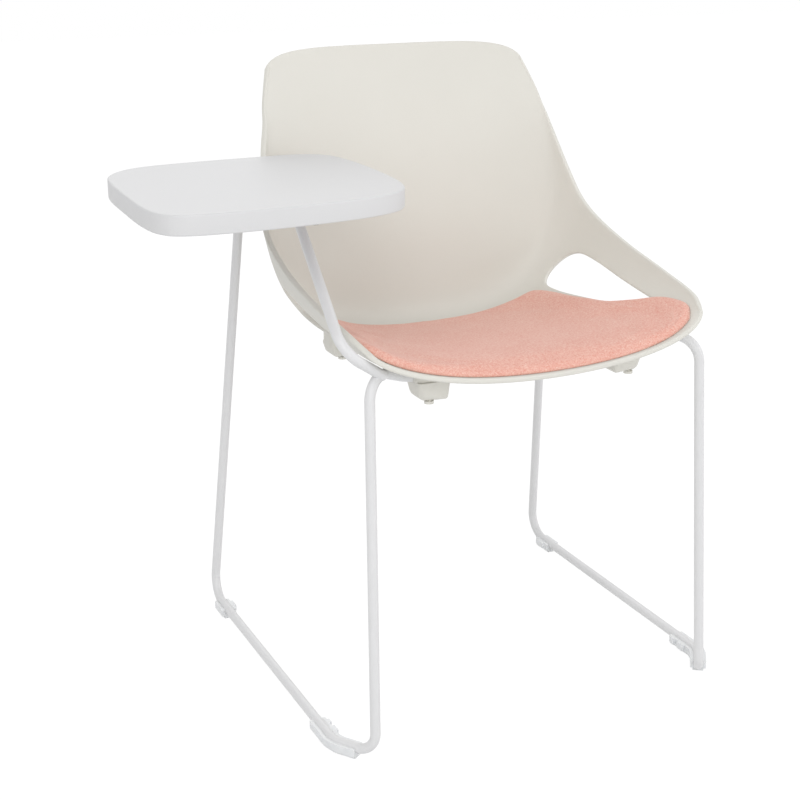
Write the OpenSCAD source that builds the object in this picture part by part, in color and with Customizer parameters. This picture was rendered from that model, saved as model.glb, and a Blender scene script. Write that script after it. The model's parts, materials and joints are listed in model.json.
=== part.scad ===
// Tablet arm chair: a moulded seat and back on a sled frame of bent rod, with a
// writing tablet that tips outwards on a rail over the sitter's right side.
// The floor is z = 0. The chair faces -Y, and +X is the sitter's left.
// Inside this file x = 0 is the middle of the seat; place() moves the middle
// of the whole footprint, tablet included, to the origin.

/* [Frame rod] */
// Diameter of the bent steel rod
rod_d = 12; // [10:0.5:14]
// Half distance between the two runners, at the rod's centre
runner_half = 258; // [245:1:275]
// Half distance between the front feet
foot_half = 225; // [215:1:235]
// How far the runner's straight part starts behind the front foot
runner_start = 47; // [44:1:60]
// Distance from the front foot to the rear foot
sled_depth = 480; // [465:1:500]
// Bend radius at the front foot
front_foot_r = 24; // [20:1:28]
// Bend radius where the runner turns outwards
runner_bend_r = 40; // [30:1:42]
// Bend radius at the rear foot
rear_foot_r = 31; // [26:1:50]
// Bend radius at the top of the front leg
knee_r = 34; // [28:1:38]
// Height of the front knee
knee_h = 461.5; // [459:0.5:464]
// How far the front leg leans back over its height
front_lean = 33; // [28:1:36]
// How far the front leg leans inwards over its height
front_tuck = 9.5; // [6:0.5:12]
// How far the rear leg leans forward for each unit of height
rear_lean_share = 0.128; // [0.11:0.002:0.14]
// How far the rear leg leans inwards for each unit of height
rear_tuck_share = 0.0565; // [0.05:0.0005:0.06]

/* [Seat shell] */
// Half width of the shell across the arms
shell_half = 232; // [226:1:234]
// Depth of the shell from the front lip to the top of the back
shell_depth = 428; // [415:1:440]
// Height of the front lip above the floor
lip_h = 438; // [437:0.5:444]
// Height of the back above the front lip
back_rise = 326; // [300:1:360]
// Wall thickness of the shell
shell_t = 6; // [4:0.5:6.5]

/* [Seat pad] */
// Thickness of the pad at its crown
pad_crown = 12; // [9:0.5:15]
// Thickness of the pad at its edge
pad_edge = 4.5; // [3:0.5:6]
// Thickness of the board inside the pad
board_t = 2.5; // [2:0.5:3.5]

/* [Rod clips] */
// Distance of the clips from the middle of the seat
clip_half = 128; // [124:1:134]
// Width of a clip along the rod
clip_w = 40; // [36:1:46]
// Depth of a clip across the rod
clip_depth = 38; // [36:1:42]
// Height of a clip below the rod's centre
clip_drop = 23; // [20:0.5:28]
// Diameter of a clip screw's head
clip_head_d = 11; // [9:0.5:13]

/* [Glides] */
// Thickness of plastic under the runner
sole_t = 5; // [3:0.5:7]
// Width of a glide
glide_w = 20; // [17:0.5:24]
// Length of a rear glide
rear_glide_l = 32; // [28:1:44]
// Length of the front glide along the straight of the runner
front_glide_l = 37; // [32:1:48]

/* [Tablet] */
// Width of the tablet, side to side
tablet_w = 309; // [290:1:320]
// Depth of the tablet, front to back
tablet_l = 308; // [295:1:320]
// Thickness of the tablet at its rim
tablet_t = 22; // [20:0.5:26]
// Height of the writing surface above the floor
tablet_h = 645; // [642:1:660]
// How far the tablet's outer edge is from the middle of the seat
tablet_reach = 436; // [420:1:450]
// How far the tablet's front edge is behind the front feet
tablet_front = 42; // [30:1:50]
// Wall of the tablet's moulded top
tablet_wall = 3.5; // [2.5:0.5:5]
// Thickness of the cover under the tablet
base_t = 4; // [3:0.5:5]

/* [Tablet rail and hinge] */
// Height of the rail's centre below the tablet's top
rail_drop = 34; // [33:0.5:36]
// Bend radius at the rear end of the rail
rail_rear_r = 40; // [30:1:45]
// Bend radius at the front end of the rail
rail_front_r = 40; // [25:1:45]
// How far the front end of the rail is behind the front feet
rail_front = 230; // [225:1:240]
// Length of a hinge block along the rail
hinge_l = 30; // [24:1:34]
// Width of a hinge block across the rail
hinge_w = 44; // [40:1:52]
// Wall of a hinge bush
bush_wall = 2; // [1.5:0.5:3]
// Outer diameter of the tilt stop's collar
stop_d = 20; // [17:0.5:20.5]

/* [Hidden] */

over = 1;
seat_gap = 0.4;
run_fit = 0.05;
grip_fit = 0.15;
face_gap = 0.3;
join_gap = 0.1;
ring_l = 0.8;
ring_rise = 0.03;
round_fn = 48;
arc_fn = 96;

shell_beige = [0.85, 0.84, 0.80];
pad_salmon = [0.91, 0.70, 0.65];
rod_white = [0.87, 0.87, 0.88];
tablet_white = [0.89, 0.89, 0.89];
clear_white = [0.93, 0.94, 0.95];
board_grey = [0.45, 0.45, 0.46];
steel_grey = [0.62, 0.62, 0.63];
rubber_grey = [0.30, 0.30, 0.31];

// The middle of the whole footprint, which place() brings to the origin
mid_x = (runner_half + glide_w / 2 - tablet_reach) / 2;
mid_y = (sled_depth - rod_d / 4) / 2;

// Points and vectors
function unit(v) = v / norm(v);
function flip(p) = [-p[0], p[1], p[2]];
function mix(a, b, t) = a + (b - a) * t;

// Rod routes. Each is a list of corners, and a list of bend radii for the
// corners between the ends. All are drawn for the sitter's left, at +X.
rod_r = rod_d / 2;
rod_z = sole_t + rod_r;
front_foot = [foot_half, 0, rod_z];
runner_front = [runner_half, runner_start, rod_z];
rear_foot = [runner_half, sled_depth, rod_z];
knee = [foot_half - front_tuck, front_lean, knee_h];
function rear_leg_at(z) = rear_foot - (z - rod_z) * [rear_tuck_share, rear_lean_share, -1];

// Under the seat the rods follow the shell's underside, and dip at their inner
// ends into the cross tubes.
rear_clip_half = clip_half - clip_w * 0.13;
arm_outer_x = clip_half + clip_w * 0.83;
arm_inner_x = clip_half - clip_w * 0.5;
arm_dip_x = arm_inner_x - rod_d * 2.77;
arm_end_x = arm_dip_x - rod_d * 2.5;
front_arm_y = shell_depth * 0.164;
front_arm_z = lip_h - rod_d * 1.17;
rear_arm_y = shell_depth * 0.759;
rear_arm_z = lip_h - rod_d * 3.83;
arm_bend_r = rod_d * 2;
front_arm = [
    [arm_outer_x, front_arm_y - rod_d * 0.5, front_arm_z + rod_d * 1.22],
    [arm_inner_x, front_arm_y, front_arm_z + rod_d * 0.33],
    [arm_dip_x, front_arm_y, front_arm_z],
    [arm_end_x, front_arm_y, front_arm_z]];
rear_arm = [
    [arm_outer_x + rod_d * 0.2, rear_arm_y + rod_d * 0.9, rear_arm_z + rod_d * 1.92],
    [arm_inner_x, rear_arm_y, rear_arm_z + rod_d * 0.75],
    [arm_dip_x, rear_arm_y, rear_arm_z],
    [arm_end_x, rear_arm_y, rear_arm_z]];
arm_radii = [arm_bend_r, arm_bend_r];
rear_knee = rear_leg_at(lip_h - rod_d * 2.75);

plain_route = concat([rear_arm[3], rear_arm[2], rear_arm[1], rear_arm[0], rear_knee,
    rear_foot, runner_front, front_foot, knee], front_arm);
plain_radii = [arm_bend_r, arm_bend_r, arm_bend_r, knee_r, rear_foot_r,
    runner_bend_r, front_foot_r, knee_r, arm_bend_r, arm_bend_r, arm_bend_r];

// On the tablet's side the rear leg runs on up to the tablet, turns forward as
// the rail, and comes down as a post that is welded to the front knee.
rail_z = tablet_h - rail_drop;
rail_rear = rear_leg_at(rail_z);
rail_x = rail_rear[0];
rail_corner = [rail_x, rail_front, rail_z];
post_low = [rail_x + rod_d * 1.95, knee[1] - rod_d * 0.33, knee_h + rod_d * 2.05];
post_end = mix(knee, front_arm[0], 0.36) - [0, rod_d * 0.55, rod_d * 0.17];
post_low_r = rod_d * 2.5;
post_knee_r = rod_d * 2.2;
tablet_route = concat([post_end, post_low, rail_corner, rail_rear, rear_foot,
    runner_front, front_foot, knee], front_arm);
tablet_radii = [post_low_r, rail_front_r, rail_rear_r, rear_foot_r,
    runner_bend_r, front_foot_r, post_knee_r, arm_bend_r, arm_bend_r, arm_bend_r];

// The stay carries the rear clip on the tablet's side. Its stub ends in the
// clip, and its long rod runs forward to just short of the front arm.
stay_clip_gap = 4;
stay_x = rear_clip_half - clip_w / 2 - rod_r - stay_clip_gap;
function at_stay(arm) = mix(arm[2], arm[1], (stay_x - arm[2][0]) / (arm[1][0] - arm[2][0]));
stub_x = rear_clip_half + clip_w * 0.4;
function stub_route(x) = [rear_arm[3], rear_arm[2], rear_arm[1],
    mix(rear_arm[1], rear_arm[0], (x - rear_arm[1][0]) / (rear_arm[0][0] - rear_arm[1][0]))];

// Rod modules. A rod is drawn from its first end: a straight, then a bend, each
// in the frame where the last one ended. A thin ring bridges each join.
module along(a, b) {
    d = unit(b - a);
    translate(a)
        rotate([0, acos(d[2]), atan2(d[1], d[0])])
            children();
}

function heading(route, i) = unit(route[i + 1] - route[i]);
function turn_at(route, i) = acos(heading(route, i - 1) * heading(route, i));
function cut_at(route, radii, i) =
    i == 0 || i == len(route) - 1 ? 0 : radii[i - 1] * tan(turn_at(route, i) / 2);
function part_across(v, d) = unit(v - (v * d) * d);
function angle_about(d, from, to) = atan2(cross(from, to) * d, from * to);
function side_at_start(d) = let (
    tilt = acos(d[2]),
    way = atan2(d[1], d[0]))
    [cos(tilt) * cos(way), cos(tilt) * sin(way), -sin(tilt)];

module join_ring(r) {
    translate([0, 0, -ring_l / 2])
        cylinder(r = r + ring_rise, h = ring_l, $fn = round_fn);
}

module rod_from(route, radii, r, i, side) {
    d = heading(route, i);
    last = i == len(route) - 2;
    run = norm(route[i + 1] - route[i]) - cut_at(route, radii, i) - cut_at(route, radii, i + 1);
    z0 = i == 0 ? 0 : join_gap;
    z1 = last ? run : run - join_gap;
    translate([0, 0, z0])
        cylinder(r = r, h = z1 - z0, $fn = round_fn);
    if (!last) {
        next = heading(route, i + 1);
        toward = part_across(next, d);
        turn = turn_at(route, i + 1);
        bend_r = radii[i];
        back_off = join_gap / bend_r * 180 / PI;
        translate([0, 0, run])
            rotate([0, 0, angle_about(d, side, toward)]) {
                join_ring(r);
                translate([bend_r, 0, 0]) {
                    rotate([90, 0, 180])
                        rotate([0, 0, back_off])
                            rotate_extrude(angle = turn - 2 * back_off, $fn = arc_fn)
                                translate([bend_r, 0])
                                    circle(r = r, $fn = round_fn);
                    rotate([0, turn, 0])
                        translate([-bend_r, 0, 0]) {
                            join_ring(r);
                            rod_from(route, radii, r, i + 1, -part_across(d, next));
                        }
                }
            }
    }
}

module rod(route, radii, r) {
    along(route[0], route[1])
        rod_from(route, radii, r, 0, side_at_start(heading(route, 0)));
}

// Moves what is drawn around the seat's middle to the part's own origin
module place() {
    translate([-mid_x, -mid_y, 0])
        children();
}

module on_tablet_side() {
    mirror([1, 0, 0])
        children();
}

// The shell is a set of ribs laid from the front lip (v = 0) to the top of the
// back (v = 1). Each rib is a cubic curve from the middle to the rim, with
// four control points: middle, flat, wall and rim. A row of the table holds
// [middle y, middle z, flat x, wall x, y, z, rim x, y, z], as shares of the
// shell's depth, of the back's rise above the lip, and of its half width.
rib_shares = [
    [0.000, -0.005, 0.517, 0.866, 0.005, 0.067, 0.928, 0.073, 0.123],
    [0.129, -0.003, 0.582, 0.900, 0.138, 0.040, 0.970, 0.144, 0.167],
    [0.304, -0.028, 0.603, 0.885, 0.296, 0.008, 0.990, 0.314, 0.209],
    [0.502, -0.061, 0.612, 0.870, 0.498, -0.010, 0.994, 0.498, 0.257],
    [0.678, -0.095, 0.612, 0.853, 0.683, -0.025, 0.985, 0.655, 0.320],
    [0.806, -0.101, 0.603, 0.846, 0.795, -0.015, 0.969, 0.745, 0.387],
    [0.869, -0.043, 0.582, 0.854, 0.853, 0.056, 0.937, 0.793, 0.480],
    [0.890, 0.113, 0.539, 0.851, 0.864, 0.239, 0.913, 0.830, 0.563],
    [0.902, 0.328, 0.496, 0.818, 0.886, 0.447, 0.890, 0.864, 0.647],
    [0.932, 0.592, 0.464, 0.790, 0.913, 0.672, 0.865, 0.891, 0.727],
    [0.977, 0.804, 0.459, 0.770, 0.952, 0.840, 0.840, 0.927, 0.801],
    [1.035, 0.998, 0.479, 0.728, 1.019, 1.003, 0.778, 0.979, 0.928]];

// A smooth curve through a table's rows, at t from 0 to 1
function before(t, i) = i == 0 ? 2 * t[0] - t[1] : t[i - 1];
function after(t, i) = i >= len(t) - 2 ? 2 * t[len(t) - 1] - t[len(t) - 2] : t[i + 2];
function spline(p0, p1, p2, p3, f) = 0.5 * (2 * p1 + (p2 - p0) * f
    + (2 * p0 - 5 * p1 + 4 * p2 - p3) * f * f + (3 * p1 - p0 - 3 * p2 + p3) * f * f * f);
function through(t, at) = let (
    n = len(t) - 1,
    i = min(floor(at * n), n - 1),
    f = at * n - i)
    spline(before(t, i), t[i], t[i + 1], after(t, i), f);

function rib(v) = through(rib_shares, v);
function rib_point(c, a) = let (
    s = abs(a),
    k1 = 3 * s * pow(1 - s, 2),
    k2 = 3 * s * s * (1 - s),
    k3 = s * s * s,
    k01 = 1 - k2 - k3)
    [sign(a) * shell_half * (k1 * c[2] + k2 * c[3] + k3 * c[6]),
     shell_depth * (k01 * c[0] + k2 * c[4] + k3 * c[7]),
     lip_h + back_rise * (k01 * c[1] + k2 * c[5] + k3 * c[8])];

// A point of the shell's middle surface, and its normal on the sitter's side
function skin(a, v) = rib_point(rib(v), a);
nudge = 0.002;
function skin_normal(a, v) = let (
    a0 = min(max(a, -1 + nudge), 1 - nudge),
    v0 = min(max(v, nudge), 1 - nudge))
    unit(cross(skin(a0 + nudge, v0) - skin(a0 - nudge, v0),
        skin(a0, v0 + nudge) - skin(a0, v0 - nudge)));
function off_skin(a, v, d) = skin(a, v) + skin_normal(a, v) * d;

// The side windows, in the same (a, v) terms. w runs from the window's front
// tip to its rear end, and the opening lies between two lines of a.
window_front_share = 0.084;
window_rear_share = 0.441;
window_mid_shares = [0.762, 0.753, 0.739, 0.731, 0.726, 0.712, 0.676];
window_size_share = 0.167;
function window_mid(w) = through(window_mid_shares, w);
function window_half(w) = w <= 0 || w >= 1 ? 0 :
    window_size_share * pow(w, 0.75) * sqrt(1 - pow(w, 5));

front_rows = 5;
window_rows = 16;
back_rows = 17;
function ease(t) = sin(90 * t);
row_w = concat(
    [for (i = [0:front_rows - 1]) i / front_rows - 1],
    [for (i = [0:window_rows]) pow(ease(i / window_rows), 1.3)],
    [for (i = [1:back_rows]) 1 + i / back_rows]);
row_v = [for (w = row_w)
    w < 0 ? window_front_share * (1 + w) :
    w > 1 ? mix(window_rear_share, 1, w - 1) :
    mix(window_front_share, window_rear_share, w)];
function inside(w) = min(max(w, 0), 1);
arm_cells = 5;
pan_cells = 22;
function row_a(w) = let (
    m = window_mid(inside(w)),
    h = window_half(inside(w)),
    hi = m + h,
    lo = m - h)
    concat(
        [for (i = [0:arm_cells]) mix(-1, -hi, i / arm_cells)],
        [for (i = [0:pan_cells]) mix(-lo, lo, i / pan_cells)],
        [for (i = [0:arm_cells]) mix(hi, 1, i / arm_cells)]);
cols = 2 * (arm_cells + 1) + pan_cells + 1;
rows = len(row_w);
open_row = [for (w = row_w) w > 0 && w < 1];
left_gap = arm_cells;
right_gap = arm_cells + pan_cells + 1;

// Where a row has no window its two edge points are one and the same
function at(r, c) = r * cols + (open_row[r] ? c :
    c == left_gap ? c + 1 : c == right_gap + 1 ? c - 1 : c);
function edge_swell(a, w) = 1 + 0.3 * pow(abs(a), 24);

module shell() {
    grid = [for (r = [0:rows - 1]) row_a(row_w[r])];
    top = [for (r = [0:rows - 1]) for (a = grid[r])
        off_skin(a, row_v[r], shell_t / 2 * edge_swell(a, row_v[r]))];
    under = [for (r = [0:rows - 1]) for (a = grid[r])
        off_skin(a, row_v[r], -shell_t / 2 * edge_swell(a, row_v[r]))];
    n = rows * cols;
    is_gap = function (c) c == left_gap || c == right_gap;
    cells = [for (r = [0:rows - 2]) for (c = [0:cols - 2])
        if (!is_gap(c)) [at(r, c), at(r, c + 1), at(r + 1, c + 1), at(r + 1, c)]];
    tops = [for (q = cells) each [[q[0], q[2], q[1]], [q[0], q[3], q[2]]]];
    unders = [for (t = tops) [t[0] + n, t[2] + n, t[1] + n]];
    rim = concat(
        [for (c = [0:cols - 2]) if (!is_gap(c)) [at(0, c), at(0, c + 1)]],
        [for (c = [0:cols - 2]) if (!is_gap(c)) [at(rows - 1, c + 1), at(rows - 1, c)]],
        [for (r = [0:rows - 2]) each [
            [at(r + 1, 0), at(r, 0)],
            [at(r, cols - 1), at(r + 1, cols - 1)]]],
        [for (r = [0:rows - 2]) if (open_row[r] || open_row[r + 1]) each [
            [at(r, left_gap), at(r + 1, left_gap)],
            [at(r + 1, left_gap + 1), at(r, left_gap + 1)],
            [at(r, right_gap), at(r + 1, right_gap)],
            [at(r + 1, right_gap + 1), at(r, right_gap + 1)]]]);
    walls = [for (e = rim) each [[e[0], e[1], e[1] + n], [e[0], e[1] + n, e[0] + n]]];
    color(shell_beige)
        place()
            polyhedron(points = concat(top, under), faces = concat(tops, unders, walls));
}

// The pad lies in the pan. b runs across it, w from its front to its rear edge.
pad_front_share = 0.010;
pad_rear_share = 0.435;
pad_front_curve_share = 0.024;
pad_rear_curve_share = 0.012;
pad_half_shares = [0.789, 0.858, 0.850, 0.813, 0.724, 0.643, 0.610, 0.588, 0.576, 0.529, 0.474];
function pad_at(b, w) = let (
    v0 = pad_front_share + pad_front_curve_share * pow(b, 4),
    v1 = pad_rear_share - pad_rear_curve_share * pow(b, 4))
    [b * through(pad_half_shares, w), mix(v0, v1, w)];
function crown(b, w) = sqrt((1 - pow(b, 8)) * (1 - pow(2 * w - 1, 10)));

// A closed sheet over the pan between two heights above the shell
module sheet(bs, ws, high, low) {
    nb = len(bs);
    nw = len(ws);
    n = nb * nw;
    on = function (b, w, d) let (p = pad_at(b, w)) off_skin(p[0], p[1], shell_t / 2 + d);
    top = [for (w = ws) for (b = bs) on(b, w, high(b, w))];
    under = [for (w = ws) for (b = bs) on(b, w, low(b, w))];
    cells = [for (j = [0:nw - 2]) for (i = [0:nb - 2])
        [j * nb + i, j * nb + i + 1, (j + 1) * nb + i + 1, (j + 1) * nb + i]];
    tops = [for (q = cells) each [[q[0], q[2], q[1]], [q[0], q[3], q[2]]]];
    unders = [for (t = tops) [t[0] + n, t[2] + n, t[1] + n]];
    rim = concat(
        [for (i = [0:nb - 2]) each [[i, i + 1], [(nw - 1) * nb + i + 1, (nw - 1) * nb + i]]],
        [for (j = [0:nw - 2]) each [[(j + 1) * nb, j * nb],
            [j * nb + nb - 1, (j + 1) * nb + nb - 1]]]);
    walls = [for (e = rim) each [[e[0], e[1], e[1] + n], [e[0], e[1] + n, e[0] + n]]];
    polyhedron(points = concat(top, under), faces = concat(tops, unders, walls));
}

// The board stops short of the pad's edge, and the pad wraps down around it
board_share = 0.88;
step_share = 0.012;
board_w0_share = (1 - board_share) / 2;
board_w1_share = 1 - board_w0_share;
pad_across = 16;
pad_along = 13;
inner_b = [for (i = [0:pad_across]) (2 * i / pad_across - 1) * (board_share + step_share)];
inner_w = [for (i = [0:pad_along]) mix(board_w0_share, board_w1_share, i / pad_along)];
pad_bs = concat([-1, -0.965, -board_share - 2 * step_share], inner_b,
    [board_share + 2 * step_share, 0.965, 1]);
pad_ws = concat([0, 0.02, board_w0_share - step_share], inner_w,
    [board_w1_share + step_share, 0.98, 1]);
function over_board(b, w) = abs(b) < board_share + 1.5 * step_share
    && w > board_w0_share - step_share / 2 && w < board_w1_share + step_share / 2;

module seat_pad() {
    high = function (b, w) pad_edge + (pad_crown - pad_edge) * crown(b, w);
    low = function (b, w) over_board(b, w) ? seat_gap + board_t + face_gap : seat_gap;
    color(pad_salmon)
        place()
            sheet(pad_bs, pad_ws, high, low);
}

module pad_board() {
    board_b = [for (i = [0:pad_across]) (2 * i / pad_across - 1) * board_share];
    board_w = [for (i = [0:pad_along])
        mix(board_w0_share + step_share, board_w1_share - step_share, i / pad_along)];
    high = function (b, w) seat_gap + board_t;
    low = function (b, w) seat_gap;
    color(board_grey)
        place()
            sheet(board_b, board_w, high, low);
}

// Frame
module plain_side_frame() {
    color(rod_white)
        place()
            rod(plain_route, plain_radii, rod_r);
}

module tablet_side_frame() {
    color(rod_white)
        place()
            on_tablet_side()
                rod(tablet_route, tablet_radii, rod_r);
}

tube_r = rod_r + rod_d / 6;
tube_half = arm_end_x + rod_d * 1.6;
module cross_tube(y, z) {
    translate([-tube_half, y, z])
        rotate([0, 90, 0])
            difference() {
                cylinder(r = tube_r, h = 2 * tube_half, $fn = round_fn);
                translate([0, 0, -over])
                    cylinder(r = rod_r + grip_fit, h = 2 * tube_half + 2 * over, $fn = round_fn);
            }
}

module front_cross_tube() {
    color(rod_white)
        place()
            cross_tube(front_arm_y, front_arm_z);
}

module rear_cross_tube() {
    color(rod_white)
        place()
            cross_tube(rear_arm_y, rear_arm_z);
}

module seat_stay() {
    color(rod_white)
        place()
            on_tablet_side()
                difference() {
                    union() {
                        rod(stub_route(stub_x), arm_radii, rod_r);
                        along(at_stay(rear_arm), at_stay(front_arm))
                            cylinder(r = rod_r, h = norm(at_stay(front_arm) - at_stay(rear_arm)),
                                $fn = round_fn);
                    }
                    rod(front_arm, arm_radii, rod_r + seat_gap);
                }
}

// Bosses under the shell and the clips that hold the rods in them. A boss is
// moulded with the shell and follows its underside; a clip closes it below.
clip_edge = clip_w * 0.12;
clip_round = clip_w * 0.28;
screw_r = clip_head_d * 0.23;
screw_hole_r = screw_r + run_fit;
clip_head_t = clip_head_d * 0.27;
boss_half = clip_w * 0.55;
front_boss_shares = [0.108, 0.027];
rear_boss_shares = [0.414, 0.036];

// The a of the shell's rib at v whose point lies at a distance x from the middle
function share_at(x, v, low = 0, high = 1, tries = 14) = let (a = (low + high) / 2)
    tries == 0 ? a : skin(a, v)[0] < x ?
        share_at(x, v, a, high, tries - 1) : share_at(x, v, low, a, tries - 1);
function boss_patch(shares, x) = let (
    a0 = share_at(x - boss_half, shares[0]),
    a1 = share_at(x + boss_half, shares[0]))
    [(a0 + a1) / 2, shares[0], (a1 - a0) / 2, shares[1]];
front_boss = boss_patch(front_boss_shares, clip_half);
rear_boss = boss_patch(rear_boss_shares, rear_clip_half);

// The height of an arm's centre line over the clip's middle
function on_arm(arm, x) = mix(arm[1], arm[0], (x - arm[1][0]) / (arm[0][0] - arm[1][0]));
front_spot = on_arm(front_arm, clip_half);
rear_spot = on_arm(rear_arm, rear_clip_half);
front_drop = clip_drop;
rear_drop = clip_drop * 0.7;
clip_front = rod_d * 0.1;
screw_front = rod_d * 1.05;
screw_out = clip_w * 0.11;

function lobe(t) = [sign(cos(t)) * pow(abs(cos(t)), 0.5), sign(sin(t)) * pow(abs(sin(t)), 0.5)];

module boss(patch, base_z) {
    ring = 32;
    levels = [0.35, 0.7, 1];
    top = [for (k = levels) for (i = [0:ring - 1]) let (q = lobe(360 * i / ring) * k)
        off_skin(patch[0] + patch[2] * q[0], patch[1] + patch[3] * q[1], -shell_t / 2 - seat_gap)];
    outer = [for (i = [0:ring - 1]) top[2 * ring + i]];
    floor_ring = [for (p = outer) [p[0], p[1], base_z]];
    mid = off_skin(patch[0], patch[1], -shell_t / 2 - seat_gap);
    pts = concat(top, floor_ring, [mid]);
    hub = len(pts) - 1;
    nxt = function (i) (i + 1) % ring;
    faces = concat(
        [for (i = [0:ring - 1]) [hub, nxt(i), i]],
        [for (k = [0:2]) for (i = [0:ring - 1]) each [
            [k * ring + i, k * ring + nxt(i), (k + 1) * ring + nxt(i)],
            [k * ring + i, (k + 1) * ring + nxt(i), (k + 1) * ring + i]]],
        [[for (i = [0:ring - 1]) 3 * ring + i]]);
    polyhedron(points = pts, faces = faces);
}

screw_grip = rod_d * 0.5;
module boss_body(patch, route, radii, spot) {
    difference() {
        boss(patch, spot[2] + face_gap / 2);
        rod(route, radii, rod_r + grip_fit);
        translate([spot[0] + screw_out, spot[1] - screw_front, spot[2] - over])
            cylinder(r = screw_hole_r, h = screw_grip + over, $fn = round_fn);
    }
}

// A clip's outer lower edge is well rounded and its inner one is not
module clip_body(route, radii, spot, drop) {
    deep = clip_depth / 2;
    ball = min(clip_round, drop * 0.45);
    difference() {
        translate([spot[0], spot[1] - clip_front, spot[2] - drop])
            hull() {
                for (sx = [-1, 1])
                    for (sy = [-1, 1])
                        translate([sx * (clip_w / 2 - clip_edge), sy * (deep - clip_edge),
                            drop - face_gap / 2 - clip_edge / 2])
                            cylinder(r = clip_edge, h = clip_edge / 2, $fn = 32);
                for (sy = [-1, 1]) {
                    translate([clip_edge - clip_w * 0.46, sy * (deep - 1.2 * clip_edge), clip_edge])
                        sphere(r = clip_edge, $fn = 32);
                    translate([clip_w * 0.46 - ball, sy * (deep - ball), ball])
                        sphere(r = ball, $fn = 32);
                }
            }
        rod(route, radii, rod_r + grip_fit);
        translate([spot[0] + screw_out, spot[1] - screw_front, spot[2] - drop - over])
            cylinder(r = screw_hole_r, h = drop + 2 * over, $fn = round_fn);
    }
}

module clip_screw(spot, drop) {
    translate([spot[0] + screw_out, spot[1] - screw_front, spot[2] - drop - clip_head_t]) {
        cylinder(d = clip_head_d, h = clip_head_t, $fn = round_fn);
        cylinder(r = screw_r, h = drop + clip_head_t + screw_grip - face_gap, $fn = round_fn);
    }
}

module boss_front_left() {
    color(shell_beige)
        place()
            boss_body(front_boss, front_arm, arm_radii, front_spot);
}

module boss_front_right() {
    color(shell_beige)
        place()
            on_tablet_side()
                boss_body(front_boss, front_arm, arm_radii, front_spot);
}

module boss_rear_left() {
    color(shell_beige)
        place()
            boss_body(rear_boss, rear_arm, arm_radii, rear_spot);
}

module boss_rear_right() {
    color(shell_beige)
        place()
            on_tablet_side()
                boss_body(rear_boss, stub_route(stub_x + face_gap), arm_radii, rear_spot);
}

module clip_front_left() {
    color(shell_beige)
        place()
            clip_body(front_arm, arm_radii, front_spot, front_drop);
}

module clip_front_right() {
    color(shell_beige)
        place()
            on_tablet_side()
                clip_body(front_arm, arm_radii, front_spot, front_drop);
}

module clip_rear_left() {
    color(shell_beige)
        place()
            clip_body(rear_arm, arm_radii, rear_spot, rear_drop);
}

module clip_rear_right() {
    color(shell_beige)
        place()
            on_tablet_side()
                clip_body(stub_route(stub_x + face_gap), arm_radii, rear_spot, rear_drop);
}

module clip_screws() {
    color(steel_grey)
        place()
            for (side = [0, 1])
                mirror([side, 0, 0]) {
                    clip_screw(front_spot, front_drop);
                    clip_screw(rear_spot, rear_drop);
                }
}

// Glides snap over the runner from below. A glide is a channel drawn in plan
// along the runner, narrower at its flat sole, and cut by the rod.
grip_above = rod_d * 0.18;
sole_w = glide_w * 0.68;
sole_h = sole_t * 0.6;
bend_steps = 12;
function side_of(pts, i) = let (
    d = unit(pts[min(i + 1, len(pts) - 1)] - pts[max(i - 1, 0)]))
    [d[1], -d[0]];
function ribbon(pts, w) = concat(
    [for (i = [0:len(pts) - 1]) pts[i] + side_of(pts, i) * w / 2],
    [for (i = [len(pts) - 1:-1:0]) pts[i] - side_of(pts, i) * w / 2]);

module channel(pts) {
    linear_extrude(height = sole_h + over)
        polygon(ribbon(pts, sole_w));
    translate([0, 0, sole_h])
        linear_extrude(height = rod_z + grip_above - sole_h)
            polygon(ribbon(pts, glide_w));
}

module runner_cut() {
    rod([knee, front_foot, runner_front, rear_foot], [front_foot_r, runner_bend_r], rod_r + grip_fit);
}

// A grip lip on the inner side of the runner
lip_out = glide_w * 0.16;
lip_tall = rod_d * 0.55;
glide_toe = rod_d * 0.1;
module grip_lip(y, lip_l) {
    translate([runner_half - glide_w / 2 - lip_out, y, rod_z - lip_tall])
        cube([lip_out + glide_w * 0.14, lip_l, lip_tall + grip_above]);
}

module rear_glide() {
    end_y = sled_depth - rear_foot_r;
    difference() {
        union() {
            channel([[runner_half, end_y - rear_glide_l], [runner_half, end_y]]);
            grip_lip(end_y - rear_glide_l * 0.75, rear_glide_l * 0.5);
        }
        runner_cut();
    }
}

module front_glide() {
    foot_dir = unit(runner_front - front_foot);
    turn = atan2(foot_dir[0], foot_dir[1]);
    cut = runner_bend_r * tan(abs(turn) / 2);
    foot_cut = cut_at([knee, front_foot, runner_front], [front_foot_r], 1);
    begin = front_foot + foot_dir * (foot_cut - glide_toe);
    done = runner_start + cut;
    arc = [for (i = [0:bend_steps]) let (t = abs(turn) * (1 - i / bend_steps))
        [runner_half - sign(turn) * runner_bend_r * (1 - cos(t)), done - runner_bend_r * sin(t)]];
    difference() {
        union() {
            channel(concat([[begin[0], begin[1]]], arc, [[runner_half, done + front_glide_l]]));
            grip_lip(done + front_glide_l * 0.08, front_glide_l * 0.34);
            grip_lip(done + front_glide_l * 0.65, front_glide_l * 0.2);
        }
        runner_cut();
    }
}

module glide_front_left() {
    color(clear_white)
        place()
            front_glide();
}

module glide_front_right() {
    color(clear_white)
        place()
            on_tablet_side()
                front_glide();
}

module glide_rear_left() {
    color(clear_white)
        place()
            rear_glide();
}

module glide_rear_right() {
    color(clear_white)
        place()
            on_tablet_side()
                rear_glide();
}

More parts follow.
